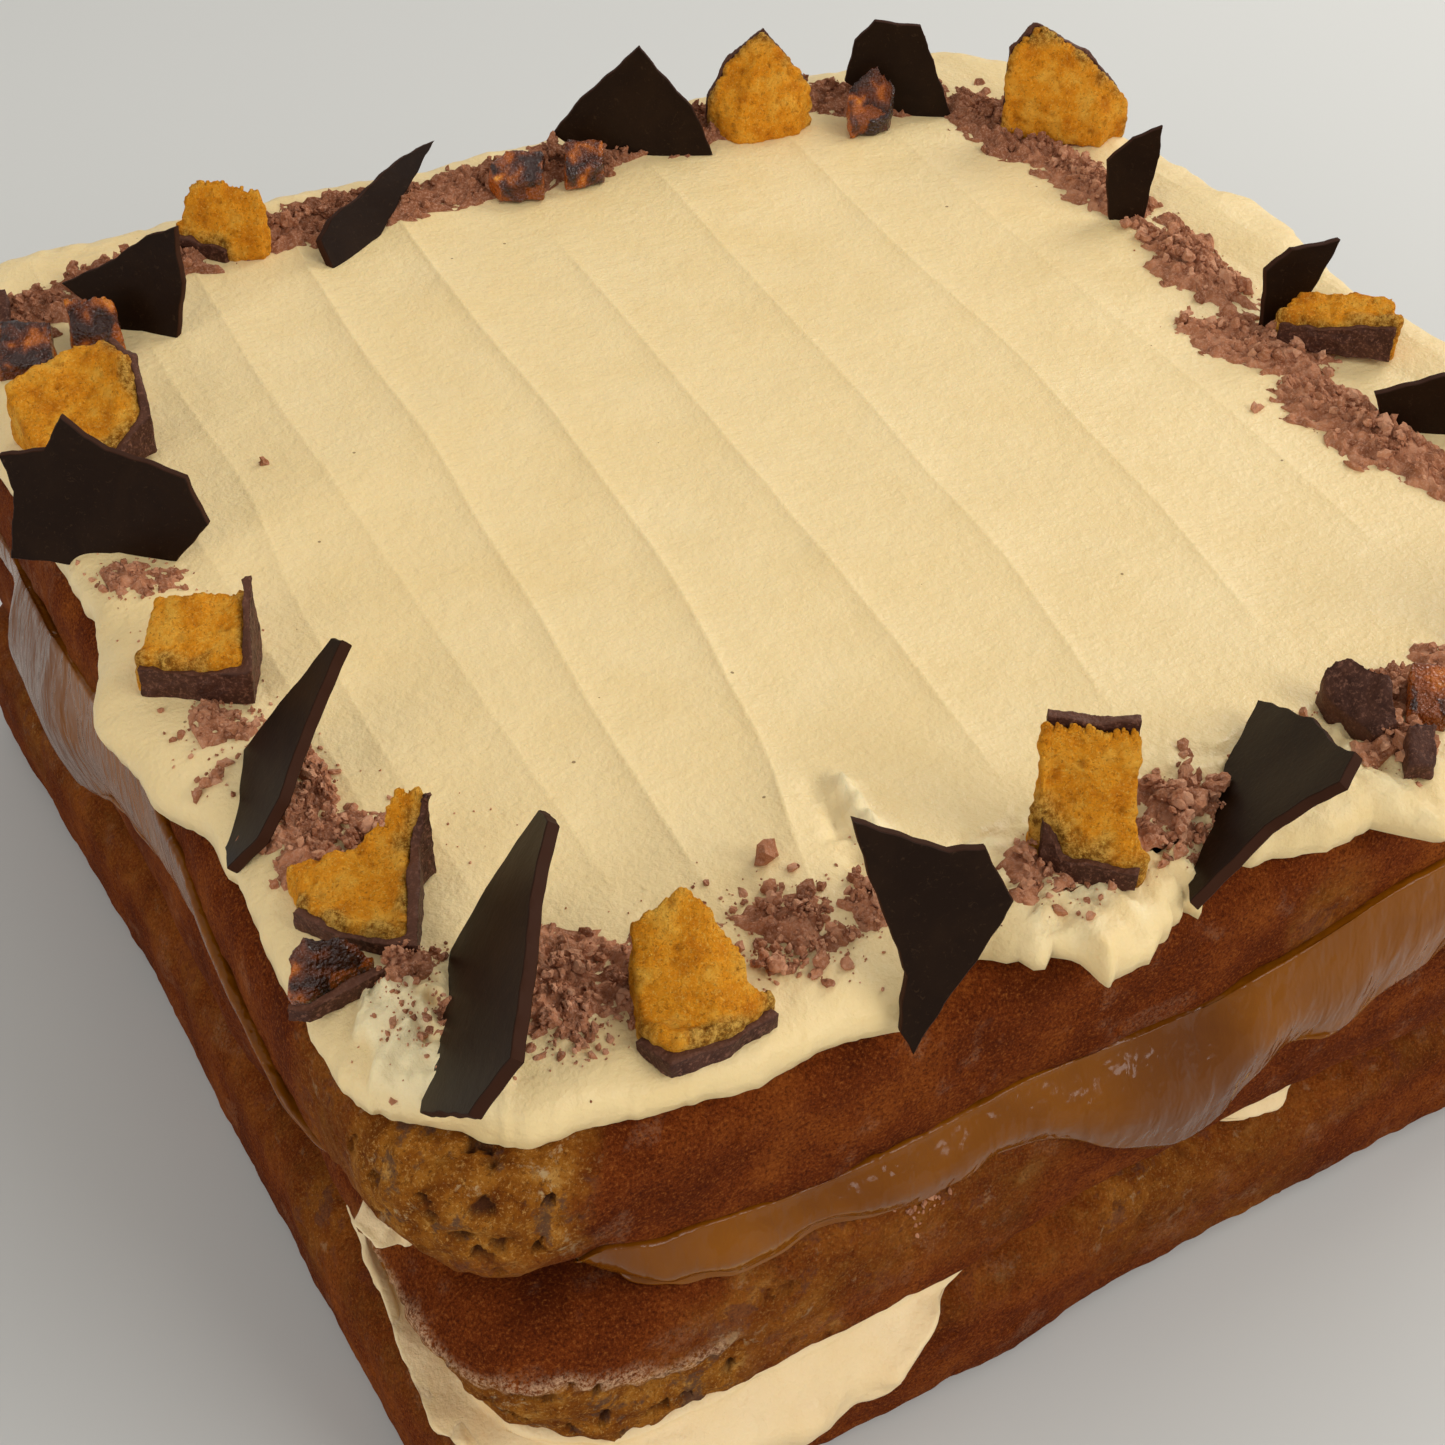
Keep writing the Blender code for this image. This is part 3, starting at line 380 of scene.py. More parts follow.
def chocolate_looks():
    """Snapped dark chocolate: smooth faces with a faint haze and a browner broken edge."""
    looks = Looks("dark_chocolate", 0.4, Specular_IOR_Level=0.10)
    edge = looks.value("edge")
    haze, scratch = looks.noise(9.0, 4.0, 0.6, 0.8), looks.noise(0.9, 4.0, 0.7, 1.5)
    tone = looks.over((0.0105, 0.0036, 0.0008), (0.024, 0.0100, 0.0030), haze, (0.42, 0.0), (0.8, 0.5))
    tone = looks.over(tone, (0.046, 0.024, 0.0110), scratch, (0.60, 0.0), (0.68, 0.5))
    tone = looks.mix(tone, (0.040, 0.0125, 0.0050), looks.part(edge, 0.85))
    looks.colour(tone)
    looks.roughness(looks.math("ADD", looks.part(edge, 0.3), 0.44))
    looks.bump((looks.noise(6.0, 2.0), 0.3, 0.3), (looks.noise(0.7, 3.0), 0.05, 0.6))
    return looks.material


def coat_looks():
    """The honeycomb's coat: dull chocolate with a pale dust. Painted light makes it lighter on the faces of a
    coat that look up and on the left faces of a dark toffee piece, and some random facets of a toffee piece
    are lighter too.
    """
    looks = Looks("chocolate_shell", 0.55, Specular_IOR_Level=0.16)
    broken = looks.value("broken")
    base = looks.ramp(looks.noise(2.5, 4.0, 0.65), (0.3, (0.036, 0.0110, 0.0058)),
                      (0.7, (0.080, 0.0290, 0.0165)))
    base = looks.over(base, (0.23, 0.100, 0.062), looks.noise(0.6, 4.0, 0.75), (0.52, 0.0), (0.64, 0.6))
    # Painted light: lighter on the faces marked broken. These are the faces that look up on a coat and the
    # faces that look left on a dark toffee piece, with some random facets of the toffee.
    base = looks.mix(base, (0.135, 0.0530, 0.0290), looks.part(broken, 0.5))
    looks.colour(base)
    looks.bump((looks.noise(1.6, 3.0, 0.6), 0.4, 0.8), (looks.noise(0.4, 2.0), 0.12, 0.9))
    return looks.material


def comb_looks():
    """Honeycomb: golden orange with tiny open bubbles, olive and speckled next to its coat, and darkened with
    painted shade in its pits and pores.
    """
    looks = Looks("honeycomb_crumb", 0.7, Specular_IOR_Level=0.1, Subsurface_Weight=0.08,
                  Subsurface_Scale=0.001, Subsurface_Radius=(1.0, 0.5, 0.15))
    deep = looks.value("deep")
    warm = looks.ramp(looks.noise(4.0, 4.0, 0.62), (0.30, (0.64, 0.190, 0.0040)),
                      (0.50, (0.90, 0.340, 0.0140)), (0.70, (0.98, 0.490, 0.0600)))
    old = looks.ramp(looks.noise(1.0, 4.0, 0.75), (0.36, (0.070, 0.026, 0.0050)),
                     (0.46, (0.30, 0.130, 0.0150)), (0.58, (0.74, 0.430, 0.0900)))
    base = looks.mix(warm, old, looks.value("dark"))
    # Painted shade: darker orange in the deep pits.
    base = looks.mix(base, (0.34, 0.088, 0.0020), looks.part(deep, 0.5))
    sugar, pores = looks.noise(0.42, 4.0, 0.85), looks.noise(0.6, 4.0, 0.8)
    base = looks.over(base, (0.98, 0.63, 0.13), sugar, (0.54, 0.0), (0.66, 0.65))
    # Painted shade: darker in the pores that the bump below sinks.
    base = looks.over(base, (0.28, 0.070, 0.0020), pores, (0.34, 0.6), (0.46, 0.0))
    looks.colour(base)
    looks.bump((pores, 0.7, 1.0), (looks.noise(0.36, 3.0, 0.8), 0.3, 1.0))
    return looks.material


def toffee_looks():
    """Clear burnt sugar: dark amber with bright orange places where it is thinner and hard glints, and a
    painted orange glow of light on its left faces.
    """
    looks = Looks("toffee_glass", 0.06, Specular_IOR_Level=0.5)
    base = looks.ramp(looks.noise(4.5, 2.0, 0.5, 0.4),
                      (0.42, (0.028, 0.0050, 0.0006)), (0.54, (0.12, 0.022, 0.0012)),
                      (0.64, (0.46, 0.110, 0.0040)), (0.78, (0.90, 0.360, 0.0400)))
    # Painted light: an orange glow on the faces that look left, and also on some random facets.
    base = looks.mix(base, (0.40, 0.085, 0.0030), looks.value("broken"))
    looks.colour(base)
    looks.bump((looks.noise(1.0, 3.0, 0.75), 0.7, 1.0), (looks.cells(0.55), 0.4, 0.9))
    return looks.material


def crumb_looks():
    """Milk chocolate crumbs, each of its own shade, with a pale dust."""
    looks = Looks("milk_chocolate_crumbs", 0.85, Specular_IOR_Level=0.06)
    base = looks.ramp(looks.value("shade"), (0.0, (0.260, 0.092, 0.0420)),
                      (0.5, (0.51, 0.212, 0.1050)), (1.0, (0.70, 0.355, 0.2050)))
    base = looks.over(base, (0.66, 0.37, 0.25), looks.noise(0.45, 4.0, 0.75), (0.48, 0.0), (0.62, 0.55))
    looks.colour(base)
    looks.bump((looks.noise(0.5, 4.0, 0.8), 0.4, 1.0))
    return looks.material


# ---- sponges -----------------------------------------------------------------------------------
# How far the top sponge's lower edge is above its flat underside, as (place, distance).
TOP_LIP = {
    "front": ((-115, 5.0), (-108, 4.0), (-100, 4.4), (-95, 4.6), (-90, 2.6), (-84, 0), (-82, 0), (115, 0)),
    "left": ((-115, 5.0), (-107, 6.5), (-98, 5.5), (-88, 3.0), (-78, 0), (-76, 0), (115, 0)),
}
SAG = 2.6                   # how far the top sponge's front sags, left of the middle
DRAWN_IN = (0.8, 4.4)       # how far the middle one's near left side is drawn in, and how much more below
FRONT_OUT = 2.0             # how far the middle one's lower front comes out
FRONT_DOWN = 1.4            # and hangs down


class Layer:
    """A sponge, with the same sizes as its solid."""

    def __init__(self, name, bottom, top, top_round, bottom_round, bulge, turn, shift, seed):
        self.name, self.bottom, self.top = name, bottom, top
        self.top_round, self.bottom_round = top_round, bottom_round
        self.bulge, self.turn, self.shift, self.seed = bulge, math.radians(turn), shift, seed
        self.lip = around(TOP_LIP, LINE_X, LINE_Y) if name == "sponge_top" else 0 * LINE_X

    def wobble(self, x, y):
        angle = np.arctan2(y, x)
        waves = (0.6 * np.sin(3 * angle + self.seed) + 0.5 * np.sin(7 * angle + 2.3 * self.seed)
                 + 0.3 * np.sin(11 * angle + 4.1 * self.seed))
        return 0.9 * waves

    def skin(self, edge, path, out):
        """Points off the skin all round: the path starts at the flat face (edge 1 top, -1 bottom),
        goes round the rounded edge and on along the side."""
        x, y = LINE_X, LINE_Y
        radius = self.top_round if edge > 0 else self.bottom_round
        face = self.top if edge > 0 else self.bottom
        arc = radius * math.pi / 2
        tilt = math.pi / 2 - np.clip(path, 0.0, arc) / radius
        inset = radius * (1 - np.cos(tilt)) - np.minimum(path, 0.0)
        depth = radius * (1 - np.sin(tilt)) + np.maximum(path - arc, 0.0)
        z = face - edge * depth
        share = (z - self.bottom) / (self.top - self.bottom)
        inset = inset - self.bulge * np.sin(math.pi * share) - out * np.cos(tilt)
        z = z + edge * out * np.sin(tilt)
        half = HALF - inset + self.wobble(x, y)
        px, py = rounded(x * half / HALF, y * half / HALF, half, np.maximum(CORNER - inset, 3.0))
        points = np.stack([px * math.cos(self.turn) - py * math.sin(self.turn) + self.shift,
                           px * math.sin(self.turn) + py * math.cos(self.turn),
                           np.broadcast_to(z, px.shape)], -1)
        return self.settle(points)

    def settle(self, points):
        """The top sponge sags a little over the front filling, left of the middle, and its lower edge
        rises at the near corner. The middle one is drawn in at its lower left and hangs a little
        lower and further out at its front."""
        x, y, z = (points[..., i].copy() for i in range(3))
        if self.name == "sponge_top":
            low = np.clip((self.top - 6 - z) / 16.0, 0, 1)
            points[..., 2] -= SAG * low * window(y, -140, -96, 20) * window(x, -92, -40, 26)
            points[..., 2] += self.lip * np.clip((self.top - 4 - z) / 18.0, 0, 1)
        elif self.name == "sponge_middle":
            low = np.clip((44 - z) / 14.0, 0, 1)
            inward = DRAWN_IN[0] + DRAWN_IN[1] * low
            points[..., 0] += inward * window(x, -140, -96, 16) * window(y, -140, -50, 40)
            front = low * window(y, -140, -98, 20) * window(x, -100, -25, 30)
            points[..., 1] -= FRONT_OUT * front
            points[..., 2] -= FRONT_DOWN * front
        return points


SPONGE_BOTTOM = Layer("sponge_bottom", 0.0, 25.0, 7.0, 4.0, 1.2, 1.4, 0.0, 1)
SPONGE_MIDDLE = Layer("sponge_middle", 29.0, 53.5, 8.0, 3.0, 1.5, 0.7, 2.0, 2)
SPONGE_TOP = Layer("sponge_top", 58.5, 83.5, 7.0, 5.0, 1.2, 0.0, 0.0, 3)


def golden_share(layer, points):
    """Where the brown skin is rubbed off and the golden crumb shows, from 0 to 1."""
    x, y, z = points[..., 0], points[..., 1], points[..., 2]
    rag = noise(points, 7.0, 41) * 4.0 + noise(points, 2.4, 42) * 2.2
    front_side = window(y, -140, -95, 10)
    left_side = window(x, -140, -100, 8)
    front = side = lip = 0.0 * x
    if layer is SPONGE_TOP:
        front = window(x + rag, -145, -95, 8) * front_side * window(z + 0.5 * rag, 68.5, 92, 5)
        side = 0.5 * window(y + rag, -145, -100, 12) * left_side * window(z + rag, 58, 82, 8)
    elif layer is SPONGE_MIDDLE:
        front = 0.5 * window(x + rag, -84, -58, 12) * front_side * window(z + 0.8 * rag, 28, 47, 7)
        side = 0.95 * window(x + y + rag, -240, -194, 9) * window(z + 0.3 * rag, 15, crest_highlight_height(x), 3)
    else:
        lip = 0.2 * window(z + 0.5 * rag, 18, 30, 5)
    patch = 0.4 * np.clip((noise(points, 26.0, 43 + layer.seed) - 0.45) * 3, 0, 1)
    return np.clip(np.maximum(np.maximum(front, side), lip + patch), 0, 1)


def crest_highlight_height(x):
    """Height of the painted highlight line on the middle sponge's near corner."""
    return 40.5 + 5.5 * np.clip((-86 - x) / 14, 0, 1)


def crest_highlight_share(layer, points):
    """The painted highlight line that runs round the middle sponge's near corner over its torn lower part."""
    x, y, z = points[..., 0], points[..., 1], points[..., 2]
    if layer is not SPONGE_MIDDLE:
        return 0.0 * x
    above = z + noise(points, 9.0, 45) * 1.0 + noise(points, 2.0, 46) * 0.8 - crest_highlight_height(x)
    return window(x + y, -240, -196, 8) * window(above, -1.6, 1.0, 1.6)


def sponge_relief(layer, points):
    """Height of the crust over the smooth skin, how golden and holed it is, and its share of painted
    highlight.
    """
    golden = golden_share(layer, points)
    swell = noise(points, 24.0, 1) * 0.6 + noise(points, 9.0, 2) * 0.42
    pebbles = noise(points, 3.2, 3) * 0.22 + noise(points, 1.6, 4) * 0.14
    near, mark = cells(points, 3.4, 5)
    pits = np.clip(0.30 - near, 0, 1) * (mark > 0.8) * 2.0
    sway = [noise(points, 2.4, n) * 1.3 + noise(points, 0.9, n + 5) * 0.5 for n in (61, 62, 63)]
    gaps, number = cells(points + np.stack(sway, -1), 4.0, 6)
    hole = np.clip((0.36 - gaps) / 0.12, 0, 1) * (number > 0.62)
    torn = noise(points, 3.0, 7) * 0.6 + noise(points, 1.5, 8) * 0.45 - hole * 1.3
    height = swell + pebbles - pits + golden * (torn - 0.5)
    pale = crest_highlight_share(layer, points)
    # Painted highlight: a pale sheen in random patches away from the golden crumb, and on the crest line.
    sheen_patches = noise(points, 6.0, 9) + noise(points, 1.8, 10) * 0.6
    painted_sheen = 0.14 * window(sheen_patches, 0.6, 3.0, 0.3) * (1 - golden)
    edge = np.clip(1 - (points[..., 2] - layer.bottom - layer.lip) / 5.0, 0, 1) * (layer is SPONGE_TOP)
    ragged = edge * (noise(points, 4.0, 47) * 0.7 + noise(points, 1.8, 48) * 0.5)
    return height + 0.7 * pale + ragged, golden, np.maximum(painted_sheen, pale), hole * golden


def covered(layer, edge, path):
    """1 where the caramel lies on a sponge, for the points at one distance along the skin."""
    if layer is SPONGE_TOP and edge < 0:
        table = CARAMEL_RISE
    elif layer is SPONGE_MIDDLE and edge > 0:
        table = CARAMEL_REACH
    else:
        return 0 * LINE_X
    return np.clip((around(table, LINE_X, LINE_Y) + 0.5 - path) / 2.0, 0, 1)


def build_sponge(layer, material):
    """A sponge from its underside to its top, ring by ring, with its crust's relief."""
    middle = (layer.top - layer.bottom) / 2
    low_end, high_end = (radius * math.pi / 2 + middle - radius
                         for radius in (layer.bottom_round, layer.top_round))
    inner = (-5.0, -2.0)
    bottom_path = np.concatenate([inner, np.linspace(0, low_end, 24)])
    top_path = np.concatenate([np.linspace(high_end, 0, 26)[1:], inner[::-1]])
    rings, reliefs = [], []
    for edge, paths in ((-1, bottom_path), (1, top_path)):
        for path in paths:
            base = layer.skin(edge, path, np.zeros(len(LINE_X)))
            height, *shares = sponge_relief(layer, base)
            calm = min(max((path + 5.0) / 5.0, 0.0), 1.0)
            hidden = covered(layer, edge, path)
            rings.append(layer.skin(edge, path, (height * (1 - hidden) - 0.6 * hidden) * calm))
            reliefs.append(shares)
    rings = np.array(rings)
    rings[..., 2] = np.maximum(rings[..., 2], 0.0)
    points, faces = loft(rings)
    values = {key: np.ravel(shares) for key, shares in zip(("golden", "painted_sheen", "hole"), zip(*reliefs))}
    return make_piece(layer.name + "_crust", points, faces, material, [layer.name], values)


# ---- fillings ----------------------------------------------------------------------------------
# How far each filling comes over the edge of the sponge under it, and rises over the one on top of
# it, as (place, length) along each side. Where it is less than 0 the filling stays inside.
CARAMEL_REACH = {
    "front": ((-115, -8), (-104, -8), (-100, -2), (-96, 2.4), (-91, 4.8), (-83, 6.8), (-73, 7.5), (-66, 7.4),
              (-58, 8.0), (-48, 9.3), (-36, 8.5), (-29, 9.5), (-22, 13), (-16, 18), (-10, 22), (-4, 21),
              (2, 15), (9, 12), (17, 13), (26, 10.5), (46, 8), (115, 7)),
    "right": ((-115, 7), (-72, 9), (-48, 12), (-24, 18), (0, 12), (24, 9), (72, 11), (115, 8)),
    "back": ((-115, 8), (-72, 10), (-48, 12), (-24, 16), (0, 12), (24, 9), (48, 12), (72, 10), (115, 8)),
    "left": ((-115, -8), (-100, -7), (-90, -1), (-82, 3), (-70, 4.5), (-52, 6.5), (-20, 8), (0, 10),
             (16, 13), (24, 19), (31, 25), (38, 24), (45, 20), (52, 10), (74, 8), (115, 8)),
}
CARAMEL_RISE = {
    "front": ((-115, -6), (-104, -6), (-99, -1), (-96.5, 4.5), (-93, 8.5), (-89, 9), (-81, 9.5), (-75, 8.4),
              (-69, 7.4), (-62, 6.6), (-55, 6.2), (-45, 6.0), (2, 6.5), (17, 9), (35, 13), (58, 15),
              (86, 12), (115, 7)),
    "right": ((-115, 7), (0, 9), (115, 6)),
    "back": ((-115, 6), (115, 6)),
    "left": ((-115, -6), (-100, -5), (-90, -1), (-80, 4), (115, 6)),
}
CREAM_LOWER_REACH = {
    "front": ((-115, 5), (-104, 6), (-93, 8), (-86, 8.5), (-80, 10.5), (-74, 13.5), (-66, 15), (-57, 13.8),
              (-50, 11), (-46, 7), (-42, 3), (-36, 1), (-2, 1), (5, 2), (11, 4), (16, 4.5), (21, 2), (28, 1),
              (115, 1)),
    "right": ((-115, 1), (-24, 1), (0, 4), (24, 5), (48, 1), (115, 1)),
    "back": ((-115, 1), (-72, 1), (-48, 4), (-24, 4), (0, 1), (115, 1)),
    "left": ((-115, 5), (-101, 4), (-86, 4), (-78, 3), (-66, 2), (-52, 1), (115, 1)),
}
# How much of the cream under the top sponge comes out, from 0 to 1.
CREAM_UPPER_SHOW = {
    "front": ((-115, 0.1), (-110, 0.0), (115, 0)),
    "left": ((-115, 0.0), (-108, 0.2), (-103, 0.75), (-97, 0.85), (-91, 0.6), (-86, 0.25), (-79, 0), (-77, 0),
             (115, 0)),
}
# Section of that cream: path along the sponge's underside, and depth below it.
CREAM_UPPER_SECTION = ((-4.0, 0.4), (-1.0, 1.3), (1.0, 1.9), (5.5, 2.1), (7.2, 1.4), (7.4, -0.2), (4.0, -0.6),
                       (-4.0, 0.0))
INSIDE = -6.0               # path where the hidden part of a filling ends


def spline(points, parts):
    """Smooth line through an array of points (first axis), with this many parts in each stretch."""
    ends = np.concatenate([points[:1], points, points[-1:]])
    line = []
    for a, b, c, d in zip(ends, ends[1:], ends[2:], ends[3:]):
        for t in np.arange(parts) / parts:
            line.append(0.5 * (2 * b + (c - a) * t + (2 * a - 5 * b + 4 * c - d) * t * t
                               + (3 * b - a - 3 * c + d) * t ** 3))
    line.append(points[-1])
    return np.array(line)


def wavy(size, seed):
    """Noise along the square's line."""
    points = np.stack([LINE_X, LINE_Y, np.full(len(LINE_X), 3.7 * seed)], -1)
    return noise(points, size, seed)


def build_filling(name, under, over, reach, rise, proud, inside, sag, relief, material, solid, values):
    """Filling between two sponges: it comes out over the under one's edge and hangs down its side."""
    arc = under.top_round * math.pi / 2
    crest = np.clip(reach, 0.5, arc)
    none = 0 * reach
    outward = under.skin(1, none + 20.0, none + 1.0) - under.skin(1, none + 20.0, none)
    low = under.skin(1, 0.5 * (reach + crest) - sag, 0.8 + proud)
    high = over.skin(-1, 0.9 * rise, inside + 0.5 * proud)
    outline = [under.skin(1, reach - 1.2, none - 1.0),
               under.skin(1, reach, 0.6 + 0.25 * proud),
               under.skin(1, reach - 0.22 * (reach - crest) - 0.6, 0.65 + 0.75 * proud),
               low,
               0.5 * (low + high) + outward * (0.8 * proud)[:, None],
               high,
               over.skin(-1, rise, inside + 0.1 * proud),
               over.skin(-1, rise - 0.5, none - 1.0)]
    visible = spline(np.array(outline), 6)
    count = len(visible)
    slope = np.gradient(visible, axis=0)
    along = np.roll(visible, -1, axis=1) - np.roll(visible, 1, axis=1)
    normal = np.cross(slope, along)
    normal /= np.linalg.norm(normal, axis=-1, keepdims=True) + 1e-9
    facing = np.sign(np.sum(normal[..., :2] * visible[..., :2]))
    share = np.sin(math.pi * np.arange(count) / (count - 1)) ** 0.5
    visible = visible + normal * facing * (relief(visible) * share[:, None])[..., None]
    hidden = [sponge.skin(edge, none + INSIDE, none + 0.1)[None] for sponge, edge in ((under, 1), (over, -1))]
    rings = np.concatenate([hidden[0], visible, hidden[1]])
    points, faces = loft(rings)
    values = {key: np.tile(value, len(rings)) for key, value in values.items()}
    return make_piece(name, points, faces, material, [solid], values)


def build_caramel(material):
    """Caramel that bulges out all round, with drips; its colour is darkened with painted shade where it stays
    in the gap between the sponges and where it barely comes out, and is darker down the drips.
    """
    reach = around(CARAMEL_REACH, LINE_X, LINE_Y) + wavy(9.0, 1) * 0.9 + wavy(3.5, 2) * 0.25
    rise = around(CARAMEL_RISE, LINE_X, LINE_Y) + wavy(8.0, 3) * 0.7
    fat = np.clip((reach - 2.0) / 4.0, 0, 1)
    drip = np.clip((reach - 9.0) / 10.0, 0, 1)
    proud = 0.3 + 1.7 * fat + 1.7 * drip + wavy(9.0, 4) * 0.3 * fat
    # Painted shade where the caramel stays in the gap between the sponges and where it barely comes out;
    # darker down the drips.
    thin = np.maximum(0.4 * np.clip(1.0 - (reach - 4.5) / 4.0, 0, 1),
                      0.6 * np.clip((reach - 10.0) / 9.0, 0, 1))

    def soft(points):
        return noise(points, 12.0, 11) * 0.45 + noise(points * (1, 1, 0.4), 5.0, 12) * 0.30

    build_filling("caramel_flow", SPONGE_MIDDLE, SPONGE_TOP, reach, rise, proud, 0.3, 0.8, soft, material,
                  "caramel", {"thin": thin})


def build_lower_cream(material):
    """Cream over the bottom sponge, fat where it hangs out round the near corner."""
    reach = around(CREAM_LOWER_REACH, LINE_X, LINE_Y)
    shown = np.clip(reach / 6.0, 0, 1)
    reach = reach + (wavy(7.0, 5) * 1.2 + wavy(2.6, 6) * 0.5) * shown
    rise = np.clip(0.45 * reach, 0.6, 2.0)
    lip = window(LINE_X, -130, -88, 16) * window(LINE_Y, -130, -66, 20)
    proud = 0.2 + np.maximum(3.4 * np.clip(reach / 12.0, 0, 1), 3.6 * lip) * (1 + 0.3 * wavy(7.0, 7))

    def lumpy(points):
        return noise(points, 6.0, 13) * 0.9 + noise(points, 2.4, 14) * 0.4

    build_filling("cream_flow", SPONGE_BOTTOM, SPONGE_MIDDLE, np.maximum(reach, 0.6), rise, proud, 0.2, 0.0,
                  lumpy, material, "cream_lower", {"torn": 0 * reach})


def build_upper_cream(material):
    """Thin cream under the top sponge, which comes out at the near corner."""
    shows = around(CREAM_UPPER_SHOW, LINE_X, LINE_Y)
    show = np.clip(shows + (wavy(5.0, 8) * 0.35 + wavy(2.2, 9) * 0.2) * (shows > 0), 0, 1.3)
    sections = []
    for path, below in CREAM_UPPER_SECTION:
        reach = np.minimum(path, -1.0 + 8.0 * show) if path > 0 else path + 0 * show
        sections.append(SPONGE_TOP.skin(-1, reach, below * np.clip(show + 0.3, 0, 1)))
    rings = spline(np.array(sections), 4)
    rings = rings + noise(rings, 3.0, 15)[..., None] * 0.3 * np.array((1, 1, 0.5))
    points, faces = loft(rings)
    make_piece("cream_dab", points, faces, material, ["cream_upper"],
               {"torn": np.zeros(len(points))})


# ---- frosting ----------------------------------------------------------------------------------
FROSTING_BOTTOM = 83.9
FROSTING_TOP = 90.5
FROSTING_CORNER = 22.0
FROSTING_RIM = 8.0
FROSTING_FLAT = HALF - FROSTING_RIM     # half width of the top inside its rounded rim
RIM_LOW = 1.9                           # height of the rim's widest place over the frosting's bottom
RIM_ROUND = 15                          # rings in the rim's round, with the border of the top
RIM_TUCK = ((0.03, -0.35), (0.12, -0.42))   # two more tucked in below it: shares of rim and drop
RIM_DROP = 5.5
# How far the frosting's edge lies outside the square, as (place, distance) along each side.
RIM_OUT = {
    "front": ((-115, -3), (-104, -1.6), (-92, -2.0), (-85, -0.8), (-73, 0.7), (-60, 0.3), (-53, 1.4),
              (-48, 1.0), (-45, -3.5), (-41, -3.7), (-36, -1.2), (-33, 1.6), (-28, 2.2), (-26.6, 4.5),
              (-25.4, 7.4), (-23.8, 6.2), (-20, 6.3), (-15.5, 5.0), (-10.6, 3.8), (-8.4, 3.4), (-7.2, 0.4),
              (-5, -1.5), (3, -1.0), (10, 0.7), (17, 2.3), (23, 3.4), (25.6, 7.6), (28.6, 8.2), (31, 4.0),
              (38, 2.0), (52, 1.0), (66, 2.0), (80, 0.4), (92, -2.0), (115, -2)),
    "right": ((-115, -2), (-90, 0.5), (-60, 2.5), (-35, 0), (-7.5, -3.3), (8, 0.5), (19.5, 3.8), (35, 0.5),
              (51, 0.7), (73, -3.3), (95, 0), (115, -1)),
    "back": ((-115, -1), (-70, 1.5), (-35, 0), (-10, -2.0), (20, 0), (60, 1.5), (90, -2), (115, -1)),
    "left": ((-115, -3), (-95, 0.0), (-72, 0.4), (-45, 0.3), (-33, 4.0), (-24, 5.0), (-16, 6.0), (-8, 3.0),
             (5, 0.0), (28, 0.0), (40, 0.8), (65, 0.4), (88, 2.0), (115, -1)),
}


class Ridge(NamedTuple):
    """A ridge that the palette knife left: its height, where it starts and ends, and (y, x) along it."""
    height: float
    ends: tuple
    path: tuple


RIDGES = (
    Ridge(0.45, (-60, 112), ((110, -94), (30, -95), (-10, -95.5), (-110, -97))),
    Ridge(0.50, (-75, 112), ((110, -82), (60, -84), (20, -84.5), (0, -87), (-60, -90), (-110, -91))),
    Ridge(0.55, (-80, 112), ((110, -68), (50, -71), (0, -72), (-60, -74), (-110, -76))),
    Ridge(1.05, (-86, 100), ((110, -48), (50, -53), (20, -54), (0, -56), (-30, -58.5), (-50, -61),
                             (-70, -63), (-110, -66))),
    Ridge(1.20, (-92, 96), ((110, -28), (50, -32), (20, -33), (0, -34.5), (-20, -36), (-40, -39),
                            (-55, -42), (-70, -45), (-85, -50), (-110, -57))),
    Ridge(1.00, (-84, 70), ((110, -4), (50, -8), (-5, -12), (-30, -14), (-55, -16), (-75, -18.5),
                            (-110, -24))),
    Ridge(0.80, (-82, 96), ((110, 24), (40, 18), (0, 14.5), (-20, 12), (-50, 9), (-65, 6), (-80, 2.5),
                            (-110, -4))),
    Ridge(0.75, (-76, 96), ((110, 54), (30, 47), (0, 45), (-20, 42), (-50, 38), (-70, 34), (-85, 31),
                            (-110, 24))),
    Ridge(0.45, (-70, 90), ((110, 74), (50, 70), (-40, 65), (-110, 56))),
    Ridge(0.40, (-60, 100), ((110, 94), (50, 90), (-70, 84), (-110, 80))),
)
# Columns of points beside each ridge, as distances from it, and across the rest of each stroke.
STEPS_RIGHT = (0.0, 0.3, 0.7, 1.2, 1.9)
STEPS_LEFT = (0.35, 0.8, 1.4, 2.2)
STROKE_GAP = 0.6
STROKE_COLUMNS = 20
# Rows of points from the front to the back: end of the fine front ones, and how many of each.
FINE_END = -82
FINE_ROWS = 52
PLAIN_ROWS = 172
# The ledge of torn frosting at the near corner, as (y, x): it is higher on its right.
LEDGE = ((-112, -105), (-107, -108.5), (-104, -110.7), (-100.5, -111.9), (-97.3, -113.0), (-93, -110.8),
         (-90, -111.9), (-86.7, -109.7), (-84, -109.3), (-80, -107), (-60, -104))
LEDGE_HEIGHT = 2.0
# Middle of the torn track in the frosting, as (x, y).
TORN_SCAR = (-42.5, -88.0)


def along_ridge(points, y):
    """x along a line that is given as (y, x) pairs."""
    return follow(sorted(points), y)


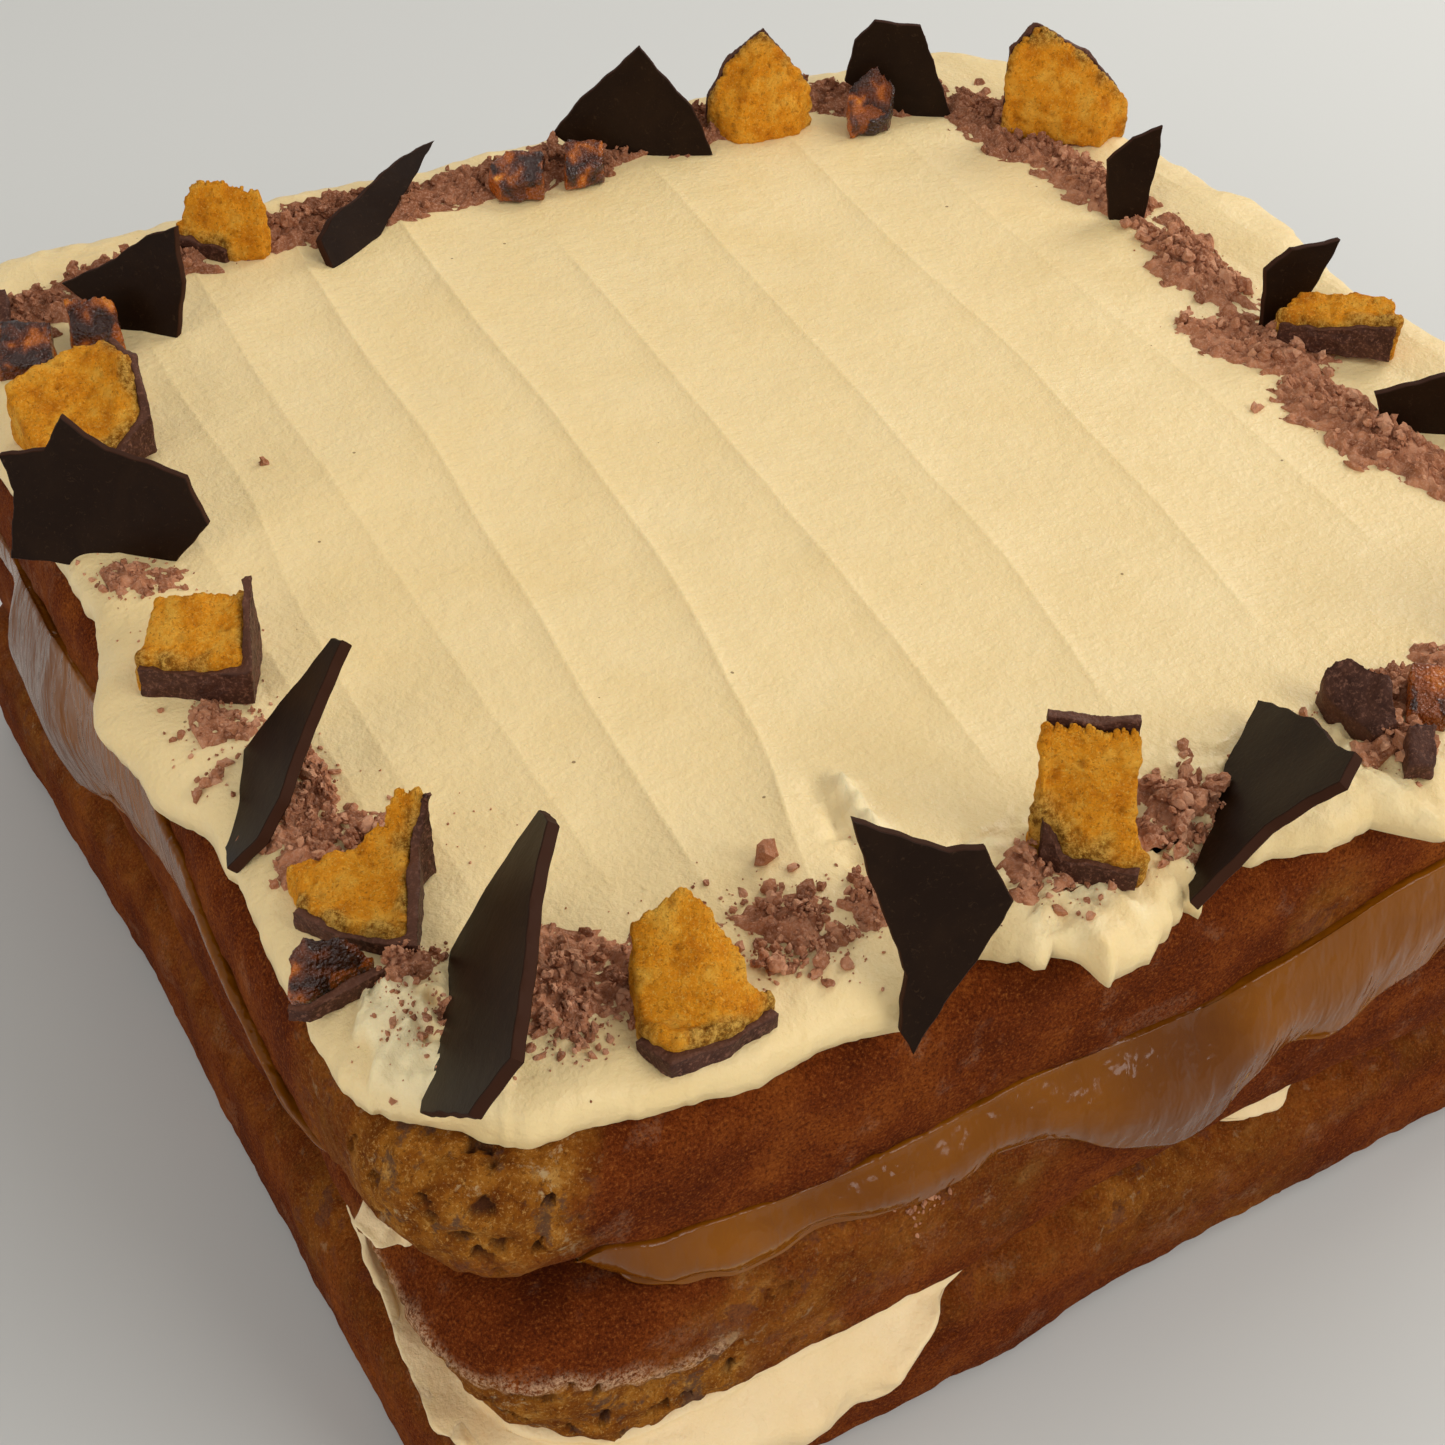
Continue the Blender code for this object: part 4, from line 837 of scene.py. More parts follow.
def frosting_columns(rows):
    """x of the top's points, with a line of them for each row, and x along its sides and ridges."""
    edge = np.full(len(rows), FROSTING_FLAT)
    lines = [-edge] + [along_ridge(ridge.path, rows) for ridge in RIDGES] + [edge]
    columns = []
    for left, right in zip(lines, lines[1:]):
        start = left + STEPS_RIGHT[-1] + STROKE_GAP
        width = right - STEPS_LEFT[-1] - STROKE_GAP - start
        columns += [left + step for step in STEPS_RIGHT]
        columns += [start + width * share for share in np.linspace(0, 1, STROKE_COLUMNS)]
        columns += [right - step for step in STEPS_LEFT[::-1]]
    columns.append(lines[-1])
    return np.stack(columns, -1), lines


def ridge_profile(x, y, lines):
    """Height of the knife marks at points between their lines."""
    z = np.zeros(np.shape(x))
    for ridge, line in zip(RIDGES, lines[1:-1]):
        fade = np.clip((FROSTING_FLAT - np.abs(x)) / 8.0, 0, 1)
        strength = ridge.height * window(y, *ridge.ends, 26) * fade
        gap = x - line[:, None]
        left = np.exp(np.minimum(gap, 0) / 1.2) * 0.35 + np.exp(np.minimum(gap, 0) / 6.0) * 0.65
        right = 0.3 * np.exp(-np.maximum(gap, 0) / 1.2) + 0.7 * np.exp(-np.maximum(gap, 0) / 8.0)
        z += strength * (np.where(gap < 0, left, right) - 0.3)
    return z


def frosting_texture(points):
    return noise(points, 30.0, 21) * 0.55 + noise(points, 11.0, 22) * 0.22 + noise(points, 4.0, 23) * 0.08


def scars(x, y):
    """Height and torn share of the rough places in the frosting: the ledge, the track and the front."""
    flat = np.stack([x, y, 0 * x], -1)
    rag = noise(flat, 2.2, 31) * 0.8 + noise(flat, 5.0, 32) * 0.6
    ledge = along_ridge(LEDGE, y) + rag
    zone = window(y, -108, -84, 5) * window(x, -121, -100, 6)
    step = np.clip((x - ledge) / 0.4, 0, 1)
    rough = noise(flat, 1.4, 33) * 1.3 + noise(flat, 3.0, 34) * 1.2
    height = zone * (step * (LEDGE_HEIGHT + rough) - 0.7)
    torn = zone * step * window(x - ledge, -1, 7, 4) * 0.7
    across = x - TORN_SCAR[0] - noise(flat, 3.0, 35) * 0.9 - 0.12 * (y - TORN_SCAR[1])
    track = window(y, TORN_SCAR[1] - 14, TORN_SCAR[1] + 9, 7)
    crest = np.exp(-((across - 1.6) / 1.3) ** 2)
    trench = np.exp(-((across + 1.6) / 1.9) ** 2)
    shreds = noise(flat, 1.5, 36) * 0.8 + noise(flat, 3.0, 30) * 0.6
    height += track * (crest * (2.2 + 1.3 * shreds) + trench * (shreds - 0.9))
    torn += 0.6 * track * crest
    lumps = np.clip(noise(flat, 8.0, 37) - 0.1, 0, 1) * window(y, -124, -100, 6) * window(x, -36, 36, 8)
    rough_front = window(y, -126, -98, 8) * window(x, -36, 36, 8)
    shredded = np.abs(noise(flat, 3.2, 38)) * 2.3 + noise(flat, 1.5, 39) * 1.0 - 0.7
    height += lumps * 2.2 + rough_front * shredded
    torn += 0.5 * rough_front * np.clip(noise(flat, 3.0, 40) * 1.6, 0, 1)
    return height, np.clip(torn, 0, 1)


def frosting_rim(border, plain):
    """Rings of the rounded rim from the top down, below the border of the top, and their torn shares."""
    bx, by = border.T
    spots = np.stack([bx, by, 0 * bx], -1)
    out = around(RIM_OUT, bx * HALF / FROSTING_FLAT, by * HALF / FROSTING_FLAT) + noise(spots, 6.0, 51) * 0.45
    ragged = 2.1 * window(by, -120, -100, 5) * window(bx, -34, 34, 6) + 0.45
    out = out + (noise(spots, 2.2, 52) * 0.6 + noise(spots, 1.2, 53) * 0.4) * ragged
    turns = np.linspace(0, math.pi / 2, RIM_ROUND)[1:]
    levels = [(1 - math.sin(a) ** 0.9, math.cos(a) ** 0.75) for a in turns]
    rings, tears = [], []
    for share, lift in levels + list(RIM_TUCK):
        half = HALF - FROSTING_RIM * share + (1 - share) * out
        x, y = rounded(bx * half / FROSTING_FLAT, by * half / FROSTING_FLAT, half,
                       FROSTING_CORNER - FROSTING_RIM * share)
        rise, tear = scars(x, y)
        up = max(lift, 0.0)
        z = FROSTING_BOTTOM + RIM_LOW + (plain + rise) * up + RIM_DROP * min(lift, 0.0)
        tears.append(tear * up)
        ring = np.stack([x, y, z], -1)
        ring += noise(ring, 3.0, 54)[:, None] * 0.25 + noise(ring, 7.0, 55)[:, None] * 0.35
        rings.append(ring)
    return np.array(rings), np.concatenate(tears)


def build_frosting(material):
    """The frosting: a sheet of knife strokes with a rounded, uneven rim joined to its border."""
    rows = np.concatenate([np.linspace(-FROSTING_FLAT, FINE_END, FINE_ROWS, endpoint=False),
                           np.linspace(FINE_END, FROSTING_FLAT, PLAIN_ROWS)])
    x, lines = frosting_columns(rows)
    y = np.repeat(rows[:, None], x.shape[1], 1)
    px, py = rounded(x, y, FROSTING_FLAT, FROSTING_CORNER - FROSTING_RIM)
    scar, torn = scars(px, py)
    z = FROSTING_TOP + ridge_profile(x, y, lines) + scar + frosting_texture(np.stack([x, y, 0 * x], -1))
    soft = np.clip((FROSTING_FLAT - np.maximum(np.abs(x), np.abs(y))) / 9.0, 0, 1)
    z -= (1 - soft) ** 2 * 0.5

    n_rows, n_columns = x.shape
    ring = [(0, k) for k in range(n_columns)]
    ring += [(r, n_columns - 1) for r in range(1, n_rows)]
    ring += [(n_rows - 1, k) for k in range(n_columns - 2, -1, -1)]
    ring += [(r, 0) for r in range(n_rows - 2, 0, -1)]
    at = tuple(np.array(ring).T)
    rings, tears = frosting_rim(np.stack([x[at], y[at]], -1), z[at] - scar[at] - FROSTING_BOTTOM - RIM_LOW)
    points = np.concatenate([np.stack([px, py, z], -1).reshape(-1, 3), rings.reshape(-1, 3)])
    faces = sheet_faces(n_rows, n_columns, False)
    start = n_rows * n_columns
    count = len(ring)
    border = [r * n_columns + k for r, k in ring]
    for i in range(count):
        j = (i + 1) % count
        faces.append((border[j], border[i], start + i, start + j))
    faces += [face[::-1] for face in sheet_faces(len(rings), count, True, start)]
    last = start + (len(rings) - 1) * count
    faces.append(tuple(range(last, last + count))[::-1])
    return make_piece("frosting_spread", points, faces, material, ["frosting"],
                      {"torn": np.concatenate([torn.reshape(-1), tears])})


# ---- crumbs ------------------------------------------------------------------------------------
class Heap(NamedTuple):
    """A heap of crumbs: its middle, half length and half width, turn in degrees, number of crumbs and
    largest radius."""
    x: float
    y: float
    long: float
    wide: float
    turn: float
    count: int
    largest: float

    def place(self, u, v):
        """x and y of a point from its distances along and across the heap."""
        angle = math.radians(self.turn)
        return (self.x + u * math.cos(angle) - v * math.sin(angle),
                self.y + u * math.sin(angle) + v * math.cos(angle))


HEAPS = tuple(Heap(*sizes) for sizes in (
    (-106.5, 7.5, 8, 5.5, -35, 110, 1.3), (-106.0, -30.5, 7.0, 6.0, 60, 170, 1.3),
    (-112, -40.5, 3.5, 2.5, 0, 16, 1.5), (-100.5, -46.5, 8.0, 4.0, 75, 170, 1.4),
    (-103.5, -57.5, 6.5, 5.0, 30, 200, 1.5), (-98.5, -60.5, 5.5, 3.6, 0, 150, 1.5),
    (-101.8, -84.5, 5.0, 3.4, 10, 90, 1.5), (-106.0, -93.0, 6.5, 7.0, 0, 60, 1.2),
    (-87.0, -97.0, 8.0, 6.5, 60, 210, 1.5), (-89.0, -104.5, 6.0, 3.5, 0, 60, 1.3),
    (-79.5, -99.5, 4.6, 2.2, 70, 80, 1.4), (-58.5, -99.0, 8.0, 5.5, -40, 190, 1.6),
    (-63.5, -105.0, 5.5, 3.5, -40, 70, 1.5), (-55.5, -104.5, 7, 5.0, 0, 60, 1.2),
    (-48.5, -102.0, 4.6, 3.4, 60, 120, 1.7), (-25.5, -106.5, 5.0, 4.0, 70, 110, 1.5),
    (-20.0, -113.0, 7.0, 2.5, 10, 26, 1.3), (-1.5, -106.0, 7.0, 7.0, 60, 330, 2.0),
    (-6.5, -111.0, 4.5, 4.5, 0, 60, 1.5), (30.0, -110.0, 6.5, 5.0, 0, 130, 1.8),
    (38.0, -101.0, 7.0, 4.5, 0, 110, 1.8), (20, -100.0, 8.0, 4.0, 0, 40, 1.4),
    (-98, -62, 16, 14, 0, 60, 0.8), (-88, -98, 18, 10, 0, 80, 0.8), (-60, -100, 16, 12, 0, 70, 0.8),
    (-12, -108, 22, 8, 0, 90, 0.8), (-104, -10, 10, 40, 0, 70, 0.9), (-104, -90, 7, 9, 0, 50, 0.8),
    (-100, 90, 10, 7, 0, 160, 1.8), (-78, 97, 14, 4.5, 4, 240, 1.8), (-40, 99, 20, 5.0, 0, 420, 1.9),
    (2, 100, 20, 5.0, 0, 400, 1.9), (40, 101, 22, 5.0, 0, 400, 1.9), (74, 98, 12, 5, -20, 220, 1.9),
    (93, 74, 5.0, 16, 5, 330, 1.9), (94, 44, 4.6, 16, 2, 330, 1.9), (91, 12, 4.6, 14, 0, 290, 1.9),
    (84, -16, 5.0, 12, 25, 230, 1.8), (81, -46, 5.0, 16, 5, 260, 1.8), (86, -78, 7.0, 12, -10, 200, 1.8),
    (84, -98, 12.0, 7, 0, 200, 1.8), (58, -100, 14.0, 6, 0, 170, 1.6), (-100, 62, 7.0, 12, 0, 130, 1.5),
    (-105, 32, 6.0, 12, 0, 70, 1.3),
))
# Single crumbs: x, y and radius.
SINGLES = ((-55.9, -88.8, 1.7), (-58.4, -93.6, 1.2), (-52.6, -96.8, 0.9), (-110.9, -55.8, 1.1),
           (-98.3, -67.0, 0.9), (-79.2, 29.2, 0.8), (-79.8, -74.0, 0.5), (-112.0, -53.0, 1.2),
           (-72.5, -112.0, 0.7))
# Crumbs on the middle sponge's front: middle x and z, spread along x and z, number.
STUCK = (-45.5, 48.0, 2.3, 2.2, 46)
BED_COUNT = 76              # a heap of this many crumbs has a bed of finer ones under it
BROAD_COUNT = 195           # and with this many its bed is broader
BROADER = 1.3               # by this factor
NARROW = 8.0                # twice over for a half length or half width below this
BED_REACH = 0.98            # reach of a bed, as a share of its heap
BED_EDGE = 111.0            # how far out a bed may come on each axis
BED_HEIGHT = 1.7
BED_SUNK = 0.95             # how deep a bed in the sparse front left part of the border is sunk
FAR_SUNK = 0.3              # and the others
SPARSE_END = 25.0           # where that part ends on both axes
BED_STEP = 0.6              # distance between a bed's points
BED_LEAST = 0.04            # size of a bed's inmost ring, as a share
SHADED = 60.0               # y from which the crumbs are in shade
FAR_SHADE = 0.3             # how light they are there, as a share
FINE_SIZE = 0.7             # radius from which a crumb has the finer of the two forms
FINEST = 0.14               # radius of the smallest crumb
MODELS = 24                 # different crumbs of each form
LOOSE_SHARE = (0.8, 1.3)    # share of a heap's count that is loose, with and without a bed
ICING_LOW = 86.0            # crumbs that would land lower than this are off the edge
PILE_CELL = 0.9             # crumbs pile up within squares of this size
PILE_RISE = 0.60            # by this share of their radius each
PILE_TOP = 1.6              # up to this height


def lump(rng, fine):
    """Points and faces of one broken crumb about the origin, with a radius of about 1."""
    bm = bmesh.new()
    bmesh.ops.create_icosphere(bm, subdivisions=2 if fine else 1, radius=1.0)
    points = np.array([vert.co for vert in bm.verts])
    faces = [tuple(vert.index for vert in face.verts) for face in bm.faces]
    bm.free()
    spots = points + rng.uniform(0, 90, 3)
    sway = noise(spots, 0.8, 61)[:, None] * 0.55 + noise(spots, 0.38, 62)[:, None] * 0.35
    points = points * (1 + sway) * rng.uniform(0.5, 1.2, 3)
    points = points * (1 + rng.uniform(-0.15, 0.15, (len(points), 1)))
    axis = Vector(rng.normal(size=3)).normalized()
    spin = np.array(Matrix.Rotation(rng.uniform(0, math.tau), 3, axis))
    return points @ spin.T, faces


def surface_of(piece):
    return BVHTree.FromObject(piece, bpy.context.evaluated_depsgraph_get())


def height_at(surfaces, x, y, default):
    """Height of the highest of the surfaces under a place."""
    hits = [surface.ray_cast(Vector((x, y, 200.0)) * MM, Vector((0, 0, -1)))[0] for surface in surfaces]
    return max([hit.z / MM for hit in hits if hit is not None], default=default)


def joined(parts):
    """Points and faces of several meshes as one."""
    faces = []
    total = 0
    for points, own in parts:
        faces += [tuple(total + k for k in face) for face in own]
        total += len(points)
    return np.concatenate([points for points, own in parts]), faces


def crumb_bed(heap, surface):
    """Points and faces of one bed: a rough mound whose ragged foot is sunk in the surface."""
    broader = BROADER if heap.count >= BROAD_COUNT else 1.0
    long, wide = (size * broader ** (2 if size < NARROW else 1) for size in (heap.long, heap.wide))
    columns = int(np.clip(5.5 * max(long, wide) / BED_STEP, 60, 210))
    shares = np.linspace(1.0, BED_LEAST, int((long + wide) * 0.36 / BED_STEP) + 6)[:, None]
    turns = np.arange(columns) * math.tau / columns
    across, along = (np.copysign(np.abs(part) ** 0.75, part) for part in (np.cos(turns), np.sin(turns)))
    rim = np.stack([heap.x + long * across, heap.y + wide * along, 0 * across], -1)
    ragged = BED_REACH * (1 + 0.30 * noise(rim, 5.0, 68) + 0.16 * noise(rim, 1.8, 69))
    x, y = heap.place(long * ragged * shares * across, wide * ragged * shares * along)
    flat = np.clip(np.stack([x, y, 0 * x], -1), -BED_EDGE, BED_EDGE)
    ground = np.array([[height_at([surface], *spot[:2], SPONGE_TOP.top) for spot in row] for row in flat])
    sunk = BED_SUNK if heap.y < SPARSE_END and heap.x < SPARSE_END else FAR_SUNK
    mound = (BED_HEIGHT * (1 - shares ** 3) + noise(flat, 4.0, 64) * 0.9 + noise(flat, 1.8, 65) * 0.9
             + noise(flat, 0.8, 66) * 0.8 - sunk)
    flat[..., 2] = ground + np.maximum(mound, -0.5)
    return loft(np.concatenate([flat[:1] - (0, 0, 1.0), flat]))


def build_crumb_beds(icing, material):
    """Crumbs too fine to part that lie under the loose ones of each dense heap."""
    surface = surface_of(icing)
    points, faces = joined([crumb_bed(heap, surface) for heap in HEAPS if heap.count >= BED_COUNT])
    shade = np.clip(0.42 + 0.5 * noise(points, 1.3, 67), 0, 1)
    shade = shade * np.where(points[:, 1] > SHADED, FAR_SHADE, 1.0)
    return make_piece("chocolate_crumb_bed", points, faces, material, ["frosting"],
                      {"shade": shade}, smooth=False)


def loose_crumbs(rng, surfaces):
    """Seats (x, y, z, radius) of the loose crumbs, which pile up on each other a little."""
    places = []
    for heap in HEAPS:
        for i in range(round(heap.count * LOOSE_SHARE[heap.count < BED_COUNT])):
            u = rng.normal() * heap.long * 0.5
            v = rng.normal() * heap.wide * 0.5
            size = FINEST + (0.72 * heap.largest - FINEST) * rng.random() ** 3.5
            places.append((*heap.place(u, v), size))
    places += SINGLES
    seats = []
    pile = {}
    for x, y, size in sorted(places, key=lambda place: -place[2]):
        z = height_at(surfaces, x, y, 0.0)
        if z < ICING_LOW:
            continue
        cell = (round(x / PILE_CELL), round(y / PILE_CELL))
        level = pile.get(cell, 0.0)
        reach = int(size / PILE_CELL)
        for i in range(-reach, reach + 1):
            for j in range(-reach, reach + 1):
                key = (cell[0] + i, cell[1] + j)
                pile[key] = min(max(pile.get(key, 0.0), level + PILE_RISE * size), PILE_TOP)
        seats.append((x, y, z + level + 0.30 * size, size))
    return seats


def stuck_crumbs(rng, skin):
    """Seats of the few crumbs that stick to a sponge's front."""
    middle_x, middle_z, spread_x, spread_z, count = STUCK
    seats = []
    for i in range(count):
        x = middle_x + rng.normal() * spread_x
        z = middle_z + rng.normal() * spread_z
        hit = skin.ray_cast(Vector((x, -200.0, z)) * MM, Vector((0, 1, 0)))[0]
        if hit is not None:
            seats.append((x, hit.y / MM, z, 0.2 + 0.5 * rng.random()))
    return seats


def build_crumbs(ground, sponge, material):
    """Every crumb as a lump of its own, turned and sized as its seat says."""
    rng = np.random.default_rng(5)
    models = {fine: [lump(rng, fine) for i in range(MODELS)] for fine in (False, True)}
    seats = loose_crumbs(rng, [surface_of(piece) for piece in ground])
    seats += stuck_crumbs(rng, surface_of(sponge))
    crumbs, shades = [], []
    for x, y, z, size in seats:
        points, faces = models[size > FINE_SIZE][rng.integers(MODELS)]
        turn = rng.uniform(0, math.tau)
        cos, sin = math.cos(turn), math.sin(turn)
        spin = np.array(((cos, -sin, 0), (sin, cos, 0), (0, 0, 1)))
        crumbs.append((points @ spin.T * size + (x, y, z), faces))
        shades.append(np.full(len(points), rng.random() * (FAR_SHADE if y > SHADED else 1.0)))
    points, faces = joined(crumbs)
    return make_piece("chocolate_crumbs", points, faces, material, ["frosting"],
                      {"shade": np.concatenate(shades)}, smooth=False)


# ---- toppings ----------------------------------------------------------------------------------
BACK_START = 25.0           # toppings wholly beyond this y are seen from further off
BACK_COARSER = 1.35         # and their meshes are coarser by this factor
SHARD_HALF = 0.85           # half the thickness of a shard
SHARD_SOFT = 0.16           # how far its edges are rounded
OUTLINE_STEP = 0.8          # distance between points along its outline
INNER_STEP = 2.2            # and between those inside it
INNER_GAP = 1.2             # which keep this far from the outline
SHARD_SHARP = 38            # angle in degrees from which its edges stay sharp
SEED_SHIFT = 37.0           # how far apart the topping pieces read the noise
COAT_FAR = 9.0              # how far from the honeycomb's points its coat is looked for
SPECKLED = {"honeycomb_front": 2.6}     # how far the dark specks reach from a coat
SPECKLED_ELSE = 1.2
# Toffee pieces that are chocolate all round.
DARK_TOFFEE = ("toffee_front_dark", "toffee_front_crumb", "toffee_left_back_a")


def welded(name):
    """A solid's own mesh as a bmesh in millimetres, with its split points joined."""
    bm = bmesh.new()
    bm.from_mesh(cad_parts[name].data)
    bmesh.ops.remove_doubles(bm, verts=bm.verts, dist=1e-6)
    bmesh.ops.scale(bm, vec=(1 / MM,) * 3, verts=bm.verts)
    bm.normal_update()
    return bm


def plate_frame(bm):
    """Outline of a flat plate, with the middle, axes and thickness of its plane."""
    largest = max(bm.faces, key=lambda face: face.calc_area())
    normal = largest.normal.copy()
    caps = {face for face in bm.faces if face.normal.dot(normal) > 0.95}
    loop_edges = [edge for edge in bm.edges if sum(face in caps for face in edge.link_faces) == 1]
    ahead = {}
    for edge in loop_edges:
        a, b = edge.verts
        ahead.setdefault(a, []).append(b)
        ahead.setdefault(b, []).append(a)
    start = loop_edges[0].verts[0]
    loop, before, here = [start], None, start
    while True:
        options = [vert for vert in ahead[here] if vert is not before]
        before, here = here, options[0]
        if here is start:
            break
        loop.append(here)
    middle = sum((vert.co for vert in loop), Vector()) / len(loop)
    axis_u = normal.cross(Vector((0, 0, 1))).normalized()
    axis_v = normal.cross(axis_u)
    depth = max(abs((vert.co - middle).dot(normal)) for vert in bm.verts)
    outline = [((vert.co - middle).dot(axis_u), (vert.co - middle).dot(axis_v)) for vert in loop]
    return np.array(outline), np.array(middle), np.array((axis_u, axis_v, normal)), depth


def ragged_outline(corners, rng, step):
    """An outline with bowed, slightly chipped edges between the same corners."""
    line = []
    for a, b in zip(corners, np.roll(corners, -1, axis=0)):
        length = np.linalg.norm(b - a)
        count = max(int(length / step), 1)
        side = np.array((b[1] - a[1], a[0] - b[0])) / length
        bow = rng.uniform(-0.022, 0.022) * length
        ripple = rng.uniform(0, 9)
        for t in np.arange(count) / count:
            sway = (bow * math.sin(math.pi * t)
                    + 0.12 * math.sin(ripple + t * length * 1.1) * math.sin(math.pi * t))
            line.append(a + (b - a) * t + side * (sway + rng.uniform(-0.035, 0.035)))
    return np.array(line)


def inside(point, line):
    """Whether a point is inside a closed line."""
    x, y = point
    hit = False
    for (x1, y1), (x2, y2) in zip(line, np.roll(line, -1, axis=0)):
        if (y1 > y) != (y2 > y) and x < (x2 - x1) * (y - y1) / (y2 - y1) + x1:
            hit = not hit
    return hit


def signed_area(line):
    """Twice the area inside a closed line, negative where the line runs clockwise."""
    after = np.roll(line, -1, axis=0)
    return np.sum(line[:, 0] * after[:, 1] - line[:, 1] * after[:, 0])


def offset(line, distance):
    """A closed line moved outwards."""
    ahead = np.roll(line, -1, axis=0) - np.roll(line, 1, axis=0)
    ahead /= np.linalg.norm(ahead, axis=1, keepdims=True) + 1e-9
    side = np.stack([ahead[:, 1], -ahead[:, 0]], -1) * math.copysign(1, signed_area(line))
    return line + side * distance


def build_shard(name, material, rng):
    """Snapped plate of chocolate, a little curved, with chipped and softened edges."""
    bm = welded(name)
    corners, middle, axes, depth = plate_frame(bm)
    bm.free()
    if signed_area(corners) < 0:
        corners = corners[::-1]
    line = ragged_outline(corners, rng, OUTLINE_STEP)
    count = len(line)
    spots = [tuple(spot) for spot in offset(line, -SHARD_SOFT)]
    low, high = line.min(0), line.max(0)
    for u in np.arange(low[0], high[0], INNER_STEP):
        for v in np.arange(low[1], high[1], INNER_STEP):
            if inside((u, v), line) and np.min(np.linalg.norm(line - (u, v), axis=1)) > INNER_GAP:
                spots.append((u, v))
    filled = delaunay_2d_cdt([Vector(spot) for spot in spots], [], [list(range(count))], 1, 1e-5)
    flat = np.array([tuple(spot) for spot in filled[0]])
    total = len(flat)
    bend = rng.uniform(-0.7, 0.7) / 400.0
    phase = rng.uniform(0, 90)

    def raised(plane, height):
        """Points of the plane at a height over the middle of the plate, with its curve."""
        curve = bend * plane[:, 0] ** 2 + noise(np.c_[plane, np.full(len(plane), phase)], 11.0, 71) * 0.28
        over = (curve + height - depth / 2)[:, None] * axes[2]
        return middle + plane[:, :1] * axes[0] + plane[:, 1:] * axes[1] + over

    rim = [int(np.argmin(np.linalg.norm(flat - spot, axis=1))) for spot in spots[:count]]
    chipped = offset(line, 0.05) + rng.uniform(-0.12, 0.12, (count, 1)) * 0.5
    edge = SHARD_HALF - SHARD_SOFT
    sheets = ((flat, SHARD_HALF), (flat, -SHARD_HALF), (line, edge), (chipped, 0.0), (line, -edge))
    points = np.concatenate([raised(plane, height) for plane, height in sheets])
    faces = [tuple(face) for face in filled[2]]
    faces += [tuple(total + i for i in reversed(face)) for face in filled[2]]
    bands = [rim] + [[2 * total + r * count + i for i in range(count)] for r in range(3)]
    bands.append([total + i for i in rim])
    for one, two in zip(bands, bands[1:]):
        for i in range(count):
            j = (i + 1) % count
            faces.append((one[j], one[i], two[i], two[j]))
    edge_share = np.concatenate([np.zeros(2 * total), np.ones(3 * count)])
    piece = make_piece(name + "_snapped", points, faces, material, [name],
                       {"edge": edge_share})
    piece.data.set_sharp_from_angle(angle=math.radians(SHARD_SHARP))
    return piece


def remeshed(name, voxel, smoothing, seed):
    """Fine even mesh of a solid: points in millimetres, faces, point normals, and where the points
    read the noise."""
    bm = welded(name)
    if min(vert.co.y for vert in bm.verts) > BACK_START:
        voxel *= BACK_COARSER
    bmesh.ops.scale(bm, vec=(MM,) * 3, verts=bm.verts)
    mesh = bpy.data.meshes.new(name + "_rough")
    bm.to_mesh(mesh)
    bm.free()
    carrier = bpy.data.objects.new(name + "_rough", mesh)
    bpy.context.scene.collection.objects.link(carrier)
    remesh = carrier.modifiers.new("remesh", "REMESH")
    remesh.mode = "VOXEL"
    remesh.voxel_size = voxel * MM
    soften = carrier.modifiers.new("soften", "SMOOTH")
    soften.iterations = smoothing
    soften.factor = 0.5
    fine = bpy.data.meshes.new_from_object(carrier.evaluated_get(bpy.context.evaluated_depsgraph_get()))
    bpy.data.objects.remove(carrier)
    bpy.data.meshes.remove(mesh)
    points = np.array([vert.co for vert in fine.vertices]) / MM
    normals = np.array([tuple(item.vector) for item in fine.vertex_normals])
    faces = [tuple(face.vertices) for face in fine.polygons]
    bpy.data.meshes.remove(fine)
    return points, faces, normals, points + seed * SEED_SHIFT


def build_comb(name, coat_surface, material, seed):
    """Honeycomb: a broken block full of small bubbles, darker next to its coat, if it has one."""
    points, faces, normals, spots = remeshed(name, 0.34, 2, seed)
    lumps = noise(spots, 5.0, 81) * 0.32 + noise(spots, 2.0, 82) * 0.26 + noise(spots, 1.0, 86) * 0.24
    bubble, mark = cells(spots, 1.7, 83)
    small, number = cells(spots, 0.9, 84)
    pits = (np.clip(0.44 - bubble, 0, 1) * 1.5 * (mark > 0.7)
            + np.clip(0.4 - small, 0, 1) * 0.5 * (number > 0.4))
    distance = np.full(len(points), COAT_FAR)
    if coat_surface is not None:
        for i, point in enumerate(points):
            near = coat_surface.find_nearest(Vector(point) * MM, COAT_FAR * MM)[3]
            if near is not None:
                distance[i] = min(COAT_FAR, near / MM)
    reach = SPECKLED.get(name, SPECKLED_ELSE)
    dark = np.clip(1.1 - (distance + noise(spots, 2.6, 85) * 1.4) / reach, 0, 1) * 0.85
    swollen = 0.3 + 0.7 * np.clip(1.8 - distance, 0, 1)
    moved = points + normals * (lumps - pits + swollen)[:, None]
    # The pits' share goes to the material, which darkens them with painted shade.
    values = {"deep": np.clip(pits * 1.6 - 0.1, 0, 1), "dark": dark}
    return make_piece(name + "_broken", moved, faces, material, [name], values)


